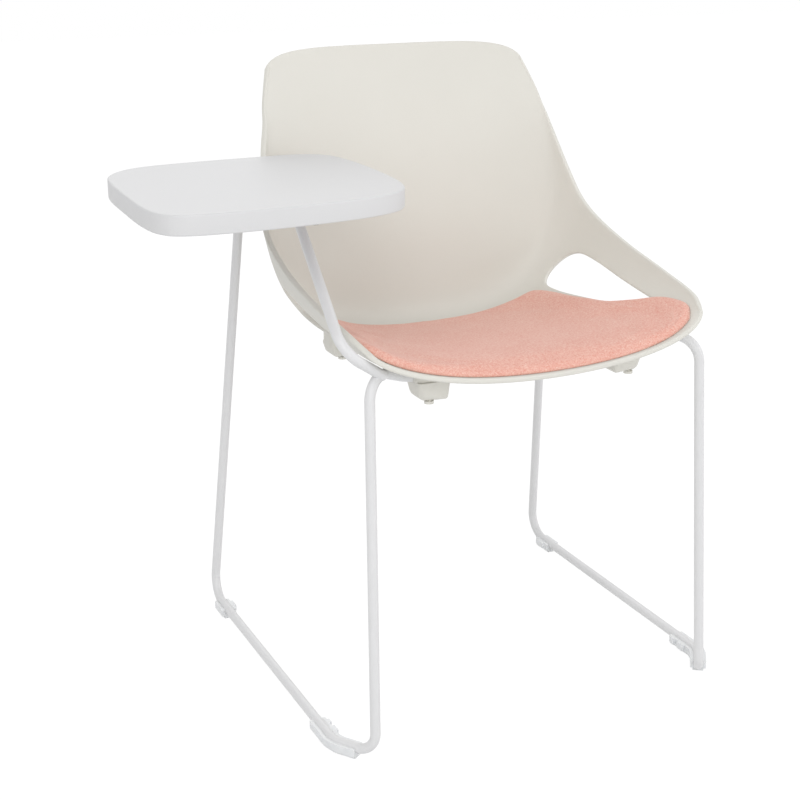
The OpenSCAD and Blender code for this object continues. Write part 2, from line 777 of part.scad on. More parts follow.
// Tablet. The outline is a smooth closed curve through shares of the half
// width and the half depth, drawn in from the edge by an inset.
tab_x0 = -tablet_reach;
tab_x1 = tab_x0 + tablet_w;
tab_y0 = tablet_front;
tab_y1 = tab_y0 + tablet_l;
tab_mid = [(tab_x0 + tab_x1) / 2, (tab_y0 + tab_y1) / 2];
outline_shares = [
    [1.00, 0.20], [0.99, 0.53], [0.93, 0.83], [0.75, 0.97], [0.44, 1.00],
    [-0.27, 0.98], [-0.64, 0.91], [-0.86, 0.72], [-0.95, 0.45], [-0.985, -0.05],
    [-1.00, -0.55], [-0.96, -0.83], [-0.82, -0.96], [-0.47, -1.00], [-0.03, -0.99],
    [0.46, -0.93], [0.75, -0.82], [0.89, -0.66], [0.96, -0.42], [0.99, -0.11]];
outline_n = len(outline_shares);
outline_steps = 4;
function ring_at(i) = outline_shares[(i + outline_n) % outline_n];
function outline_at(t) = let (
    i = floor(t),
    p = spline(ring_at(i - 1), ring_at(i), ring_at(i + 1), ring_at(i + 2), t - i))
    tab_mid + [p[0] * tablet_w / 2, p[1] * tablet_l / 2];
outline_step = 1 / outline_steps;
function outline_normal(t) = let (
    d = outline_at(t + outline_step) - outline_at(t - outline_step + outline_n))
    unit([d[1], -d[0]]);
function tablet_outline(inset) = [for (k = [0:outline_n * outline_steps - 1])
    outline_at(k * outline_step) - outline_normal(k * outline_step) * inset];

module tablet_slab(inset, z, h) {
    translate([0, 0, z])
        linear_extrude(height = h)
            polygon(tablet_outline(inset));
}

tablet_z0 = tablet_h - tablet_t;
edge_r = tablet_wall * 0.8;
edge_steps = 3;
base_recess = base_t * 0.15;
base_z0 = tablet_z0 + base_recess;
base_z1 = base_z0 + base_t;
skin_z = tablet_h - tablet_wall;
tab_screw_r = tablet_wall * 0.55;
tab_post_r = tab_screw_r * 2.5;
tab_head_r = tab_screw_r * 2.1;
tab_head_t = base_t * 0.5;
tab_inset = tablet_w * 0.085;
tab_screw_x = [tab_x0 + tab_inset, tab_x1 - tab_inset];
tab_screw_y = [tab_y0 + tablet_l * 0.3, tab_y0 + tablet_l * 0.5, tab_y0 + tablet_l * 0.7];
tab_spots = [for (x = tab_screw_x) for (y = tab_screw_y) [x, y]];

// Hinge screws stand either side of the rail, which lies at -rail_x
hinge_bolt_r = hinge_w * 0.055;
hinge_bolt_off = hinge_w * 0.36;
bush_r = rod_r + run_fit + bush_wall;
stop_l = hinge_l * 0.5;
stop_gap = hinge_l * 0.09;
hinge_front_y = rail_front + hinge_l * 1.05;
hinge_y = [hinge_front_y, hinge_front_y + hinge_l + stop_l + 2 * stop_gap];
hinge_spots = [for (y = hinge_y) for (s = [-1, 1]) [-rail_x + s * hinge_bolt_off, y]];
hinge_post_r = hinge_bolt_r * 2.4;
hinge_bolt_in = (skin_z - base_z1) * 0.7;

module tablet_top() {
    color(tablet_white)
        place()
            difference() {
                union() {
                    tablet_slab(0, tablet_z0, tablet_t - edge_r);
                    for (i = [1:edge_steps])
                        tablet_slab(edge_r * (1 - cos(90 * (i - 0.5) / edge_steps)),
                            tablet_h - 2 * edge_r, edge_r + edge_r * i / edge_steps);
                }
                difference() {
                    tablet_slab(tablet_wall, tablet_z0 - over, skin_z - tablet_z0 + over);
                    for (p = tab_spots)
                        translate([p[0], p[1], base_z1 + face_gap])
                            cylinder(r = tab_post_r, h = tablet_t, $fn = round_fn);
                    for (p = hinge_spots)
                        translate([p[0], p[1], base_z1 + face_gap])
                            cylinder(r = hinge_post_r, h = tablet_t, $fn = round_fn);
                }
                for (p = tab_spots)
                    translate([p[0], p[1], tablet_z0 - over])
                        cylinder(r = tab_screw_r + run_fit, h = skin_z - tablet_z0, $fn = round_fn);
                for (p = hinge_spots)
                    translate([p[0], p[1], tablet_z0 - over])
                        cylinder(r = hinge_bolt_r + run_fit, h = skin_z - tablet_z0, $fn = round_fn);
            }
}

module tablet_base() {
    color(tablet_white)
        place()
            difference() {
                tablet_slab(tablet_wall + face_gap, base_z0, base_t);
                for (p = tab_spots)
                    translate([p[0], p[1], base_z0 - over]) {
                        cylinder(r = tab_screw_r + grip_fit, h = base_t + 2 * over, $fn = round_fn);
                        cylinder(r = tab_head_r + grip_fit, h = tab_head_t + over, $fn = round_fn);
                    }
                for (p = hinge_spots)
                    translate([p[0], p[1], base_z0 - over])
                        cylinder(r = hinge_bolt_r + grip_fit, h = base_t + 2 * over, $fn = round_fn);
            }
}

module tablet_screws() {
    color(steel_grey)
        place()
            for (p = tab_spots)
                translate([p[0], p[1], base_z0]) {
                    cylinder(r = tab_head_r, h = tab_head_t, $fn = round_fn);
                    cylinder(r = tab_screw_r, h = base_t + tablet_t * 0.4, $fn = round_fn);
                }
}

// Hinge: a split block and cap around a bush that turns on the rail
hinge_top = base_z0 - face_gap;
hinge_cap_drop = bush_r + rod_d * 0.3;
module hinge_half(y, z0, z1) {
    difference() {
        translate([-rail_x - hinge_w / 2, y - hinge_l / 2, z0])
            cube([hinge_w, hinge_l, z1 - z0]);
        translate([-rail_x, y + hinge_l / 2 + over, rail_z])
            rotate([90, 0, 0])
                cylinder(r = bush_r + run_fit, h = hinge_l + 2 * over, $fn = round_fn);
        for (s = [-1, 1])
            translate([-rail_x + s * hinge_bolt_off, y, z0 - over])
                cylinder(r = hinge_bolt_r + grip_fit, h = z1 - z0 + 2 * over, $fn = round_fn);
    }
}

module hinge_block_front() {
    color(tablet_white)
        place()
            hinge_half(hinge_y[0], rail_z + face_gap / 2, hinge_top);
}

module hinge_block_rear() {
    color(tablet_white)
        place()
            hinge_half(hinge_y[1], rail_z + face_gap / 2, hinge_top);
}

module hinge_cap_front() {
    color(tablet_white)
        place()
            hinge_half(hinge_y[0], rail_z - hinge_cap_drop, rail_z - face_gap / 2);
}

module hinge_cap_rear() {
    color(tablet_white)
        place()
            hinge_half(hinge_y[1], rail_z - hinge_cap_drop, rail_z - face_gap / 2);
}

hinge_head_r = hinge_bolt_r * 1.8;
hinge_head_t = hinge_bolt_r * 1.1;
module hinge_screws() {
    color(steel_grey)
        place()
            for (p = hinge_spots)
                translate([p[0], p[1], rail_z - hinge_cap_drop - hinge_head_t]) {
                    cylinder(r = hinge_head_r, h = hinge_head_t, $fn = round_fn);
                    cylinder(r = hinge_bolt_r,
                        h = base_z1 + hinge_bolt_in - rail_z + hinge_cap_drop + hinge_head_t,
                        $fn = round_fn);
                }
}

module hinge_bushes() {
    color(rubber_grey)
        place()
            for (y = hinge_y)
                translate([-rail_x, y + hinge_l / 2, rail_z])
                    rotate([90, 0, 0])
                        difference() {
                            cylinder(r = bush_r, h = hinge_l, $fn = round_fn);
                            translate([0, 0, -over])
                                cylinder(r = rod_r + run_fit, h = hinge_l + 2 * over, $fn = round_fn);
                        }
}

// The stop is a collar clamped on the rail. Its lug holds the inner side of
// the tablet level and lets the outer side drop.
stop_y = (hinge_y[0] + hinge_y[1]) / 2;
stop_lug = stop_d * 1.1;
stop_lug_t = stop_d * 0.3;
module tilt_stop() {
    color(steel_grey)
        place()
            difference() {
                union() {
                    translate([-rail_x, stop_y + stop_l / 2, rail_z])
                        rotate([90, 0, 0])
                            cylinder(d = stop_d, h = stop_l, $fn = round_fn);
                    translate([-rail_x, stop_y - stop_l / 2, base_z0 - face_gap - stop_lug_t])
                        cube([stop_lug, stop_l, stop_lug_t]);
                }
                translate([-rail_x, stop_y + stop_l / 2 + over, rail_z])
                    rotate([90, 0, 0])
                        cylinder(r = rod_r + run_fit, h = stop_l + 2 * over, $fn = round_fn);
            }
}

bumper_r = rod_d * 0.62;
bumper_t = rod_d * 0.6;
module tablet_bumper() {
    color(rubber_grey)
        place()
            translate([-rail_x - hinge_w * 0.75, tab_y0 + tablet_l * 0.13, base_z0 - face_gap - bumper_t])
                cylinder(r = bumper_r, h = bumper_t, $fn = round_fn);
}

shell();
seat_pad();
pad_board();
plain_side_frame();
tablet_side_frame();
front_cross_tube();
rear_cross_tube();
seat_stay();
boss_front_left();
boss_front_right();
boss_rear_left();
boss_rear_right();
clip_front_left();
clip_front_right();
clip_rear_left();
clip_rear_right();
clip_screws();
glide_front_left();
glide_front_right();
glide_rear_left();
glide_rear_right();
tablet_top();
tablet_base();
tablet_screws();
hinge_block_front();
hinge_block_rear();
hinge_cap_front();
hinge_cap_rear();
hinge_screws();
hinge_bushes();
tilt_stop();
tablet_bumper();
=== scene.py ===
# %% [markdown]
# # A tablet arm chair, dressed for the camera
# The solids come from the CAD part and stay where they are. This file gives
# them their finish, and swaps the forms that a camera looks at closely, such
# as the shell and the cushion, for finer ones in the same place.
# Everything is in metres on one shared origin, so nothing has to be fitted.

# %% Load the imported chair
import json
import math

import bmesh
import bpy
import numpy as np
from mathutils import Matrix, Vector

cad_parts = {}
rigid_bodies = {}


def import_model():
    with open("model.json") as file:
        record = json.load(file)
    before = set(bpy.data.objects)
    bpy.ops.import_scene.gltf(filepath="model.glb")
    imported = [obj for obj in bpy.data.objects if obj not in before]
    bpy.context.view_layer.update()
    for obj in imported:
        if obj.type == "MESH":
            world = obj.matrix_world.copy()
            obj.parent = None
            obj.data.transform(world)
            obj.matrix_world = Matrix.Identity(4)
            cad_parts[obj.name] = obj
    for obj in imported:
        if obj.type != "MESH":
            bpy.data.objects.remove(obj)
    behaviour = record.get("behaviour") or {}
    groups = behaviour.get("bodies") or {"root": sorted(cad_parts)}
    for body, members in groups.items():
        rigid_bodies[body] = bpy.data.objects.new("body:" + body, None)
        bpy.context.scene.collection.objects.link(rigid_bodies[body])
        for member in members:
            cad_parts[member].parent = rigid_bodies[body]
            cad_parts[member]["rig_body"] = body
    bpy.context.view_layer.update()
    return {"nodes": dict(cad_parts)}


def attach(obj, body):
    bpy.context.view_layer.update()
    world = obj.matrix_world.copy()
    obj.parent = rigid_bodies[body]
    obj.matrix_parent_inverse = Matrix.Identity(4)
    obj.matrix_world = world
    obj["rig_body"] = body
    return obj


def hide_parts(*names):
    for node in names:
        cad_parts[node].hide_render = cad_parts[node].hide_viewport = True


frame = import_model()
nodes = frame["nodes"]

# %% [markdown]
# ## Where the seat sits
# The seat was drawn in millimetres round its own middle, with the front feet
# at y = 0. The part's origin is the middle of the whole footprint, tablet
# included. One function moves points from the first to the second.

# %% From drawing millimetres to scene metres
MID_X, MID_Y = -84.0, 238.5


def to_scene(points):
    """Drawing points in millimetres, as scene points in metres."""
    p = np.asarray(points, float)
    return (p - np.array([MID_X, MID_Y, 0.0])) / 1000.0


print("the seat's middle is at", to_scene([0, 0, 0]).round(4))

# %% [markdown]
# ## Materials as small sums
# A moulded plastic is never one flat colour. Its tone drifts a little and its
# skin has a fine grain. Such things are sums of noises, and sums are easier to
# read as Python than as boxes and wires. `Wire` lets the usual signs add Math
# nodes, and `Finish` holds one material while it is built.

# %% A wire that understands + - * /


def plug(tree, value, socket):
    """Links a wire into a socket, or sets the socket to a plain value."""
    if isinstance(value, Wire):
        tree.links.new(value.socket, socket)
    else:
        socket.default_value = value


class Wire:
    """A number, colour or vector on its way through a material."""

    def __init__(self, tree, socket):
        self.tree, self.socket = tree, socket

    def sum_up(self, operation, a, b):
        node = self.tree.nodes.new("ShaderNodeMath")
        node.operation = operation
        plug(self.tree, a, node.inputs[0])
        plug(self.tree, b, node.inputs[1])
        return Wire(self.tree, node.outputs[0])

    def __add__(self, other):
        return self.sum_up("ADD", self, other)

    def __sub__(self, other):
        return self.sum_up("SUBTRACT", self, other)

    def __rsub__(self, other):
        return self.sum_up("SUBTRACT", other, self)

    def __mul__(self, other):
        return self.sum_up("MULTIPLY", self, other)

    def __truediv__(self, other):
        return self.sum_up("DIVIDE", self, other)

    __radd__, __rmul__ = __add__, __mul__


# %% [markdown]
# A finish is one Principled shader and a few noises that feed it. They all
# read object coordinates, so a pattern stays on its piece and keeps its size.

# %% A finish under construction


class Finish:
    """One Principled material, with its noises read from object coordinates."""

    def __init__(self, name, rough, **fixed):
        self.material = bpy.data.materials.new(name)
        self.material.use_nodes = True
        self.tree = self.material.node_tree
        self.skin = self.tree.nodes["Principled BSDF"]
        self.skin.inputs["Roughness"].default_value = rough
        for key, value in fixed.items():
            self.skin.inputs[key.replace("_", " ")].default_value = value
        self.place = self.node("ShaderNodeTexCoord", out="Object")

    def node(self, kind, settings=None, out=0, **sockets):
        """Adds a node: its settings first, then values or wires for its sockets."""
        made = self.tree.nodes.new(kind)
        for key, value in (settings or {}).items():
            setattr(made, key, value)
        for key, value in sockets.items():
            plug(self.tree, value, made.inputs[key.replace("_", " ")])
        return Wire(self.tree, made.outputs[out])

    def noise(self, scale, detail=2.0, stretch=None, spin=(0, 0, 0)):
        """Smooth noise between 0 and 1. Scale is in features a metre."""
        where = self.place
        if stretch:
            where = self.node("ShaderNodeMapping", Vector=where, Scale=stretch, Rotation=spin)
        return self.node("ShaderNodeTexNoise", out="Fac", Vector=where, Scale=scale, Detail=detail)

    def blend(self, amount, first, second):
        """A colour between two, by a wire from 0 to 1."""
        made = self.node("ShaderNodeMix", {"data_type": "RGBA", "clamp_factor": True}).socket.node
        plug(self.tree, amount, made.inputs["Factor"])
        ends = [s for s in made.inputs if s.type == "RGBA"]
        for value, socket in zip((first, second), ends, strict=True):
            plug(self.tree, value if isinstance(value, Wire) else (*value, 1.0), socket)
        return Wire(self.tree, next(s for s in made.outputs if s.type == "RGBA"))

    def colour(self, wire):
        plug(self.tree, wire, self.skin.inputs["Base Color"])

    def roughness(self, wire):
        plug(self.tree, wire, self.skin.inputs["Roughness"])

    def bump(self, height, depth, strength):
        """Raises the skin by a height wire, depth in metres."""
        made = self.node("ShaderNodeBump", Height=height, Distance=depth, Strength=strength)
        plug(self.tree, made, self.skin.inputs["Normal"])


def linear(r, g, b):
    """A colour as a picture holds it, 0 to 255, as the light values a shader uses."""
    return tuple(((c / 255 + 0.055) / 1.055) ** 2.4 for c in (r, g, b))


# %% [markdown]
# ## The plastics
# The shell is moulded polypropylene in a warm grey. Its mould was spark
# eroded, so the skin has a fine matt grain, and long parts cool unevenly, so
# the tone and the sheen drift over a hand's width. The tablet is the same kind
# of plastic in a cooler, lighter grey.

# %% Moulded plastic, in any tone


GRAIN_DEPTH = 0.00006


def moulded(name, light, dark, rough, grain=900.0):
    """Matt moulded plastic whose tone drifts between two colours."""
    f = Finish(name, rough)
    drift = f.noise(7.0, 3.0)
    speck = f.noise(420.0, 1.0)
    f.colour(f.blend(drift * 0.8 + speck * 0.2, linear(*dark), linear(*light)))
    f.roughness(drift * 0.08 + speck * 0.06 + (rough - 0.07))
    f.bump(f.noise(grain, 2.0), GRAIN_DEPTH, 0.35)
    return f.material


shell_plastic = moulded("shell_plastic", (227, 225, 218), (220, 218, 210), 0.52)
tablet_plastic = moulded("tablet_plastic", (221, 221, 222), (215, 215, 216), 0.5, 1400.0)
board_plastic = moulded("board_plastic", (120, 120, 121), (110, 110, 112), 0.6)
bush_plastic = moulded("bush_plastic", (210, 209, 203), (203, 201, 195), 0.42)
print("plastics:", *(m.name for m in (shell_plastic, tablet_plastic, board_plastic, bush_plastic)))

# %% [markdown]
# ## Powder coat, zinc and rubber
# Powder coat flows as it cures and keeps a faint orange peel, a few ripples to
# the centimetre. Zinc plated screws are brushed by their tumbling. Both need
# only a fine bump and a sheen that wanders a little.

# %% The frame's powder coat
coat = Finish("powder_coat", 0.38, Coat_Weight=0.08, Coat_Roughness=0.3)
peel = coat.noise(260.0, 1.0)
coat.colour(coat.blend(coat.noise(9.0, 2.0), linear(221, 221, 222), linear(228, 228, 229)))
coat.roughness(peel * 0.1 + 0.29)
coat.bump(peel, 0.00008, 0.3)
powder_coat = coat.material

# %% [markdown]
# Brushed zinc is one noise, stretched until it is all scratches. The rubber is
# dark grey and dull, with a little dust in its tone.

# %% Screws, bumper
zinc = Finish("zinc_plate", 0.36, Metallic=1.0)
scratch = zinc.noise(500.0, 2.0, stretch=(6.0, 1.0, 1.0))
zinc.colour(zinc.blend(scratch, linear(176, 178, 182), linear(206, 207, 209)))
zinc.roughness(scratch * 0.25 + 0.25)
zinc.bump(scratch, 0.00003, 0.4)
zinc_plate = zinc.material

rubber = Finish("bumper_rubber", 0.8)
dust = rubber.noise(300.0, 3.0)
rubber.colour(rubber.blend(dust, linear(66, 66, 68), linear(88, 88, 90)))
rubber.bump(rubber.noise(1500.0), 0.00006, 0.5)
bumper_rubber = rubber.material
print("metals and rubber:", powder_coat.name, zinc_plate.name, bumper_rubber.name)

# %% [markdown]
# ## Milky nylon
# The glides are unpigmented nylon. Light goes in and comes out again a
# millimetre away, which softens every edge. Subsurface scattering does this
# and keeps the piece solid in other viewers.

# %% The glides' nylon
milk = Finish("milky_nylon", 0.3, Subsurface_Weight=0.35, Subsurface_Scale=0.004)
milk.skin.inputs["Subsurface Radius"].default_value = (1.0, 1.0, 1.05)
cloud = milk.noise(90.0, 3.0)
milk.colour(milk.blend(cloud, linear(226, 228, 230), linear(240, 241, 242)))
milk.roughness(cloud * 0.15 + 0.25)
milk.bump(milk.noise(700.0), 0.00005, 0.3)
milky_nylon = milk.material

# %% [markdown]
# ## Wool felt
# The cushion's cover is a milled wool cloth. Pale and deep salmon fibres are
# mixed before spinning, so close up it is a fine fleck with short hairs in
# all directions. Three stretched noises at different angles stand in for the
# hairs, a soft one for the cloudiness, and a sheen for the nap. The photograph
# shows next to no salmon reflected on the shell, so light that bounces off the
# cover sees a greyer cloth.

# %% The cushion's cover
wool = Finish("salmon_wool", 0.93, Sheen_Weight=0.32, Sheen_Roughness=0.5)
wool.skin.inputs["Sheen Tint"].default_value = (1.0, 0.87, 0.82, 1.0)
hairs = (
    wool.noise(980.0, 2.0, stretch=(1.0, 0.3, 1.0))
    + wool.noise(1040.0, 2.0, stretch=(0.32, 1.0, 1.0), spin=(0, 0, 0.6))
    + wool.noise(940.0, 2.0, stretch=(1.0, 0.32, 1.0), spin=(0, 0, 1.1))
) / 3.0
fleck = wool.noise(430.0, 3.0)
haze = wool.noise(24.0, 3.0)
melange = (hairs - 0.5) * 4.0 + (fleck - 0.5) * 1.5 + (haze - 0.5) * 0.4 + 0.5
LIGHT_HAIRS, HAIR_STEP, BOUNCE_GREY = 0.585, 9.0, 0.75
body_tone = wool.blend(melange, linear(228, 156, 139), linear(243, 199, 184))
cover_tone = wool.blend((hairs - LIGHT_HAIRS) * HAIR_STEP, body_tone, linear(246, 222, 212))
bounced = wool.node("ShaderNodeLightPath", out="Is Diffuse Ray")
wool.colour(wool.blend(bounced * BOUNCE_GREY, cover_tone, linear(222, 208, 200)))
wool.bump(hairs * 0.7 + fleck * 0.3, 0.0006, 0.75)
salmon_wool = wool.material
print("soft finishes:", salmon_wool.name, milky_nylon.name)

# %% [markdown]
# ## Helpers for making pieces
# Every finished piece is one mesh whose object sits at the origin, just as the
# CAD solids do. `make_piece` builds it from points and faces, names the body
# that carries it, and says which solid it stands for.

# %% From points and faces to a piece


def make_piece(name, verts, faces, material, body, stands_for=()):
    """A mesh piece at the origin, riding a body and hiding the solids it replaces."""
    mesh = bpy.data.meshes.new(name)
    mesh.from_pydata([tuple(v) for v in verts], [], [tuple(f) for f in faces])
    mesh.validate()
    piece = bpy.data.objects.new(name, mesh)
    bpy.context.scene.collection.objects.link(piece)
    return dress(piece, material, body, stands_for)


def dress(piece, material, body, stands_for=(), smooth=True):
    """Gives a piece its material, its body and the solids that it stands for."""
    piece.data.materials.clear()
    piece.data.materials.append(material)
    for poly in piece.data.polygons:
        poly.use_smooth = smooth
        poly.material_index = 0
    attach(piece, body)
    if stands_for:
        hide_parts(*stands_for)
    return piece


def outward(piece):
    """Turns every face outwards."""
    bm = bmesh.new()
    bm.from_mesh(piece.data)
    bmesh.ops.recalc_face_normals(bm, faces=bm.faces)
    bm.to_mesh(piece.data)
    bm.free()


# %% [markdown]
# ## The shell's shape
# Seat and back are one moulding. It is drawn as ribs from the front lip
# (v = 0) to the top of the back (v = 1). Each rib is a cubic curve from the
# middle of the seat (a = 0) to its rim (a = 1 or -1), with four control
# points: middle, flat, wall and rim. The rows below hold
# [middle y, z, flat x, wall x, y, z, rim x, y, z] as shares of the shell's
# depth, of the back's rise and of the half width, as the CAD part has them.

# %% Ribs of the shell
HALF, DEPTH, LIP, RISE, WALL = 232.0, 428.0, 438.0, 326.0, 6.0
RIBS = np.array([
    [0.000, -0.005, 0.517, 0.866, 0.005, 0.067, 0.928, 0.073, 0.123],
    [0.129, -0.003, 0.582, 0.900, 0.138, 0.040, 0.970, 0.144, 0.167],
    [0.304, -0.028, 0.603, 0.885, 0.296, 0.008, 0.990, 0.314, 0.209],
    [0.502, -0.061, 0.612, 0.870, 0.498, -0.010, 0.994, 0.498, 0.257],
    [0.678, -0.095, 0.612, 0.853, 0.683, -0.025, 0.985, 0.655, 0.320],
    [0.806, -0.101, 0.603, 0.846, 0.795, -0.015, 0.969, 0.745, 0.387],
    [0.869, -0.043, 0.582, 0.854, 0.853, 0.056, 0.937, 0.793, 0.480],
    [0.890, 0.113, 0.539, 0.851, 0.864, 0.239, 0.913, 0.830, 0.563],
    [0.902, 0.328, 0.496, 0.818, 0.886, 0.447, 0.890, 0.864, 0.647],
    [0.932, 0.592, 0.464, 0.790, 0.913, 0.672, 0.865, 0.891, 0.727],
    [0.977, 0.804, 0.459, 0.770, 0.952, 0.840, 0.840, 0.927, 0.801],
    [1.035, 0.998, 0.479, 0.728, 1.019, 1.003, 0.778, 0.979, 0.928],
])


def through(table, at):
    """A smooth curve through a table's rows, at values from 0 to 1."""
    t = np.asarray(table, float)
    n = len(t) - 1
    ends = np.concatenate([[2 * t[0] - t[1]], t, [2 * t[n] - t[n - 1]]])
    x = np.clip(np.asarray(at, float), 0, 1) * n
    i = np.minimum(np.floor(x).astype(int), n - 1)
    f = x - i
    if t.ndim == 2:
        f = f[..., None]
    p0, p1, p2, p3 = ends[i], ends[i + 1], ends[i + 2], ends[i + 3]
    return 0.5 * (2 * p1 + (p2 - p0) * f + (2 * p0 - 5 * p1 + 4 * p2 - p3) * f**2
                  + (3 * p1 - p0 - 3 * p2 + p3) * f**3)


def skin(a, v):
    """Points of the shell's middle surface, in drawing millimetres."""
    a, v = np.broadcast_arrays(np.asarray(a, float), np.asarray(v, float))
    c, s = through(RIBS, v), np.abs(a)
    k1, k2, k3 = 3 * s * (1 - s)**2, 3 * s * s * (1 - s), s**3
    k01 = 1 - k2 - k3
    return np.stack([
        np.sign(a) * HALF * (k1 * c[..., 2] + k2 * c[..., 3] + k3 * c[..., 6]),
        DEPTH * (k01 * c[..., 0] + k2 * c[..., 4] + k3 * c[..., 7]),
        LIP + RISE * (k01 * c[..., 1] + k2 * c[..., 5] + k3 * c[..., 8])], -1)


def skin_normal(a, v, step=0.002):
    """The surface's direction on the sitter's side."""
    a0, v0 = np.clip(a, -1 + step, 1 - step), np.clip(v, step, 1 - step)
    across = skin(a0 + step, v0) - skin(a0 - step, v0)
    along = skin(a0, v0 + step) - skin(a0, v0 - step)
    n = np.cross(across, along)
    return n / np.linalg.norm(n, axis=-1, keepdims=True)


print("top of the back at", round(float(skin(0, 1)[2])), "mm")

# %% [markdown]
# ## Side windows
# Each side of the seat has an opening under the arm of the shell. Its edges
# are two lines of a, around a middle line, so the grid can part exactly there.
# The grid stops one edge radius short of the rim and of the windows' edges,
# because the rounded edge that is built later adds that much again. Rows are
# laid closer towards the window's round rear end.

# %% The shell's grid, parted at the windows
WINDOW, WINDOW_HALF = (0.081, 0.446), 0.177
WINDOW_MID = [0.762, 0.753, 0.739, 0.731, 0.726, 0.712, 0.676]


def window_edges(w):
    """The lower and upper a of the opening at a share w of its length."""
    w = np.clip(w, 0, 1)
    half = WINDOW_HALF * w**0.75 * np.sqrt(np.maximum(0, 1 - w**5))
    mid = through(WINDOW_MID, w)
    return mid - half, mid + half


EDGE_R, ARC_STEPS = 2.2, 5
FRONT_ROWS, WINDOW_ROWS, BACK_ROWS, ARM_CELLS, PAN_CELLS = 12, 60, 90, 14, 72
TINY = 1e-9
row_w = np.concatenate([
    np.linspace(-1, 0, FRONT_ROWS, endpoint=False),
    np.sin(np.linspace(0, math.pi / 2, WINDOW_ROWS))**1.3,
    np.linspace(1, 2, BACK_ROWS + 1)[1:]])
row_v = np.where(row_w < 0, WINDOW[0] * (1 + row_w),
                 np.where(row_w > 1, WINDOW[1] + (1 - WINDOW[1]) * (row_w - 1),
                          WINDOW[0] + (WINDOW[1] - WINDOW[0]) * row_w))
low, high = window_edges(row_w)
is_open = (row_w > TINY) & (row_w < 1 - TINY)


def edge_share(a, v, da, dv, step=0.002):
    """How far a or v goes while the sheet runs on by one edge radius."""
    run = skin(a + da * step, v + dv * step) - skin(a, v)
    return EDGE_R * step / np.linalg.norm(run, axis=-1)


def grid_row(lo, hi, rim):
    """One row's values of a: left arm, pan, right arm."""
    arm = np.linspace(0, 1, ARM_CELLS + 1)
    pan = np.linspace(-lo, lo, PAN_CELLS + 1)
    return np.concatenate([-rim + arm * (rim - hi), pan, hi + arm * (rim - hi)])


row_rim = 1 - edge_share(1.0, row_v, -1, 0)
shell_a = np.array([grid_row(*ends) for ends in zip(low, high, row_rim, strict=True)])
from_front = edge_share(shell_a, np.zeros_like(shell_a), 0, 1)
from_top = edge_share(shell_a, np.ones_like(shell_a), 0, -1)
shell_v = (row_v[:, None] + np.clip(1 - row_v / WINDOW[0], 0, 1)[:, None] * from_front
           - np.clip((row_v - WINDOW[1]) / (1 - WINDOW[1]), 0, 1)[:, None] * from_top)
rows, cols = shell_a.shape
left_gap, right_gap = ARM_CELLS, ARM_CELLS + PAN_CELLS + 1
print("shell grid:", rows, "rows of", cols)

# %% [markdown]
# ## From sheet to wall
# The grid is one thin sheet, and the wall is built on both sides of it. Where
# the sheet ends, at the rim and at the windows, the wall closes in a rounded
# edge of two small arcs. Where a row has no window, its two edge points are
# one and the same. At a window's pointed tip the arcs shrink to fit.

# %% Edges with two small arcs


RIM_EXTRA, RIM_POWER = 0.3, 24
TIP_SHARE, TIP_RADIUS = 0.4, 0.2


def wall_half(a):
    """Half the wall's thickness, a little more at the rim."""
    return WALL / 2 * (1 + RIM_EXTRA * np.abs(a)**RIM_POWER)


def edge_arcs(loop, normal, half, inside, radius):
    """Rings round an open edge, from the sitter's side to the underside.

    The edge's outward direction lies in the sheet and points away from inside.
    """
    run = np.roll(loop, -1, axis=0) - np.roll(loop, 1, axis=0)
    away = np.cross(run, normal)
    away /= np.linalg.norm(away, axis=1, keepdims=True)
    away *= np.sign(((loop - inside) * away).sum(1, keepdims=True))
    rings = []
    for side in (1, -1):
        start = loop + normal * side * (half - radius)
        turns = np.linspace(math.pi / 2, 0, ARC_STEPS + 1)
        arc = [start + radius * (away * math.cos(t) + normal * side * math.sin(t)) for t in turns]
        rings += arc if side > 0 else arc[::-1]
    return rings


# %% [markdown]
# Both faces of the wall use the same cells, turned over for the underside. The
# outer rim is one loop of points and each window is another, and rings of the
# edge's arcs close the wall along all three.

# %% Build the shell
middle = skin(shell_a, shell_v).reshape(-1, 3)
upward = skin_normal(shell_a, shell_v).reshape(-1, 3)
half_wall = wall_half(shell_a).reshape(-1, 1)


def index(r, c):
    """A point's number, with the gap's two edges joined where there is no window."""
    if not is_open[r]:
        c = c + 1 if c == left_gap else c - 1 if c == right_gap + 1 else c
    return r * cols + c


cells = [(index(r, c), index(r, c + 1), index(r + 1, c + 1), index(r + 1, c))
         for r in range(rows - 1) for c in range(cols - 1) if c not in (left_gap, right_gap)]
open_rows = np.flatnonzero(is_open)
before, behind = open_rows[0] - 1, open_rows[-1] + 1
outer = [index(r, c) for r, c in (
    [(0, c) for c in range(cols)] + [(r, cols - 1) for r in range(1, rows)]
    + [(rows - 1, c) for c in range(cols - 2, -1, -1)] + [(r, 0) for r in range(rows - 2, 0, -1)])]
loops = [list(dict.fromkeys(outer))]
for gap in (left_gap, right_gap):
    loops.append([index(before, gap)] + [index(r, gap) for r in open_rows]
                 + [index(behind, gap)] + [index(r, gap + 1) for r in open_rows[::-1]])
sheet = len(middle)
both = [middle + upward * half_wall, middle - upward * half_wall]
faces = cells + [tuple(sheet + i for i in reversed(cell)) for cell in cells]
extra = []
total = 2 * sheet
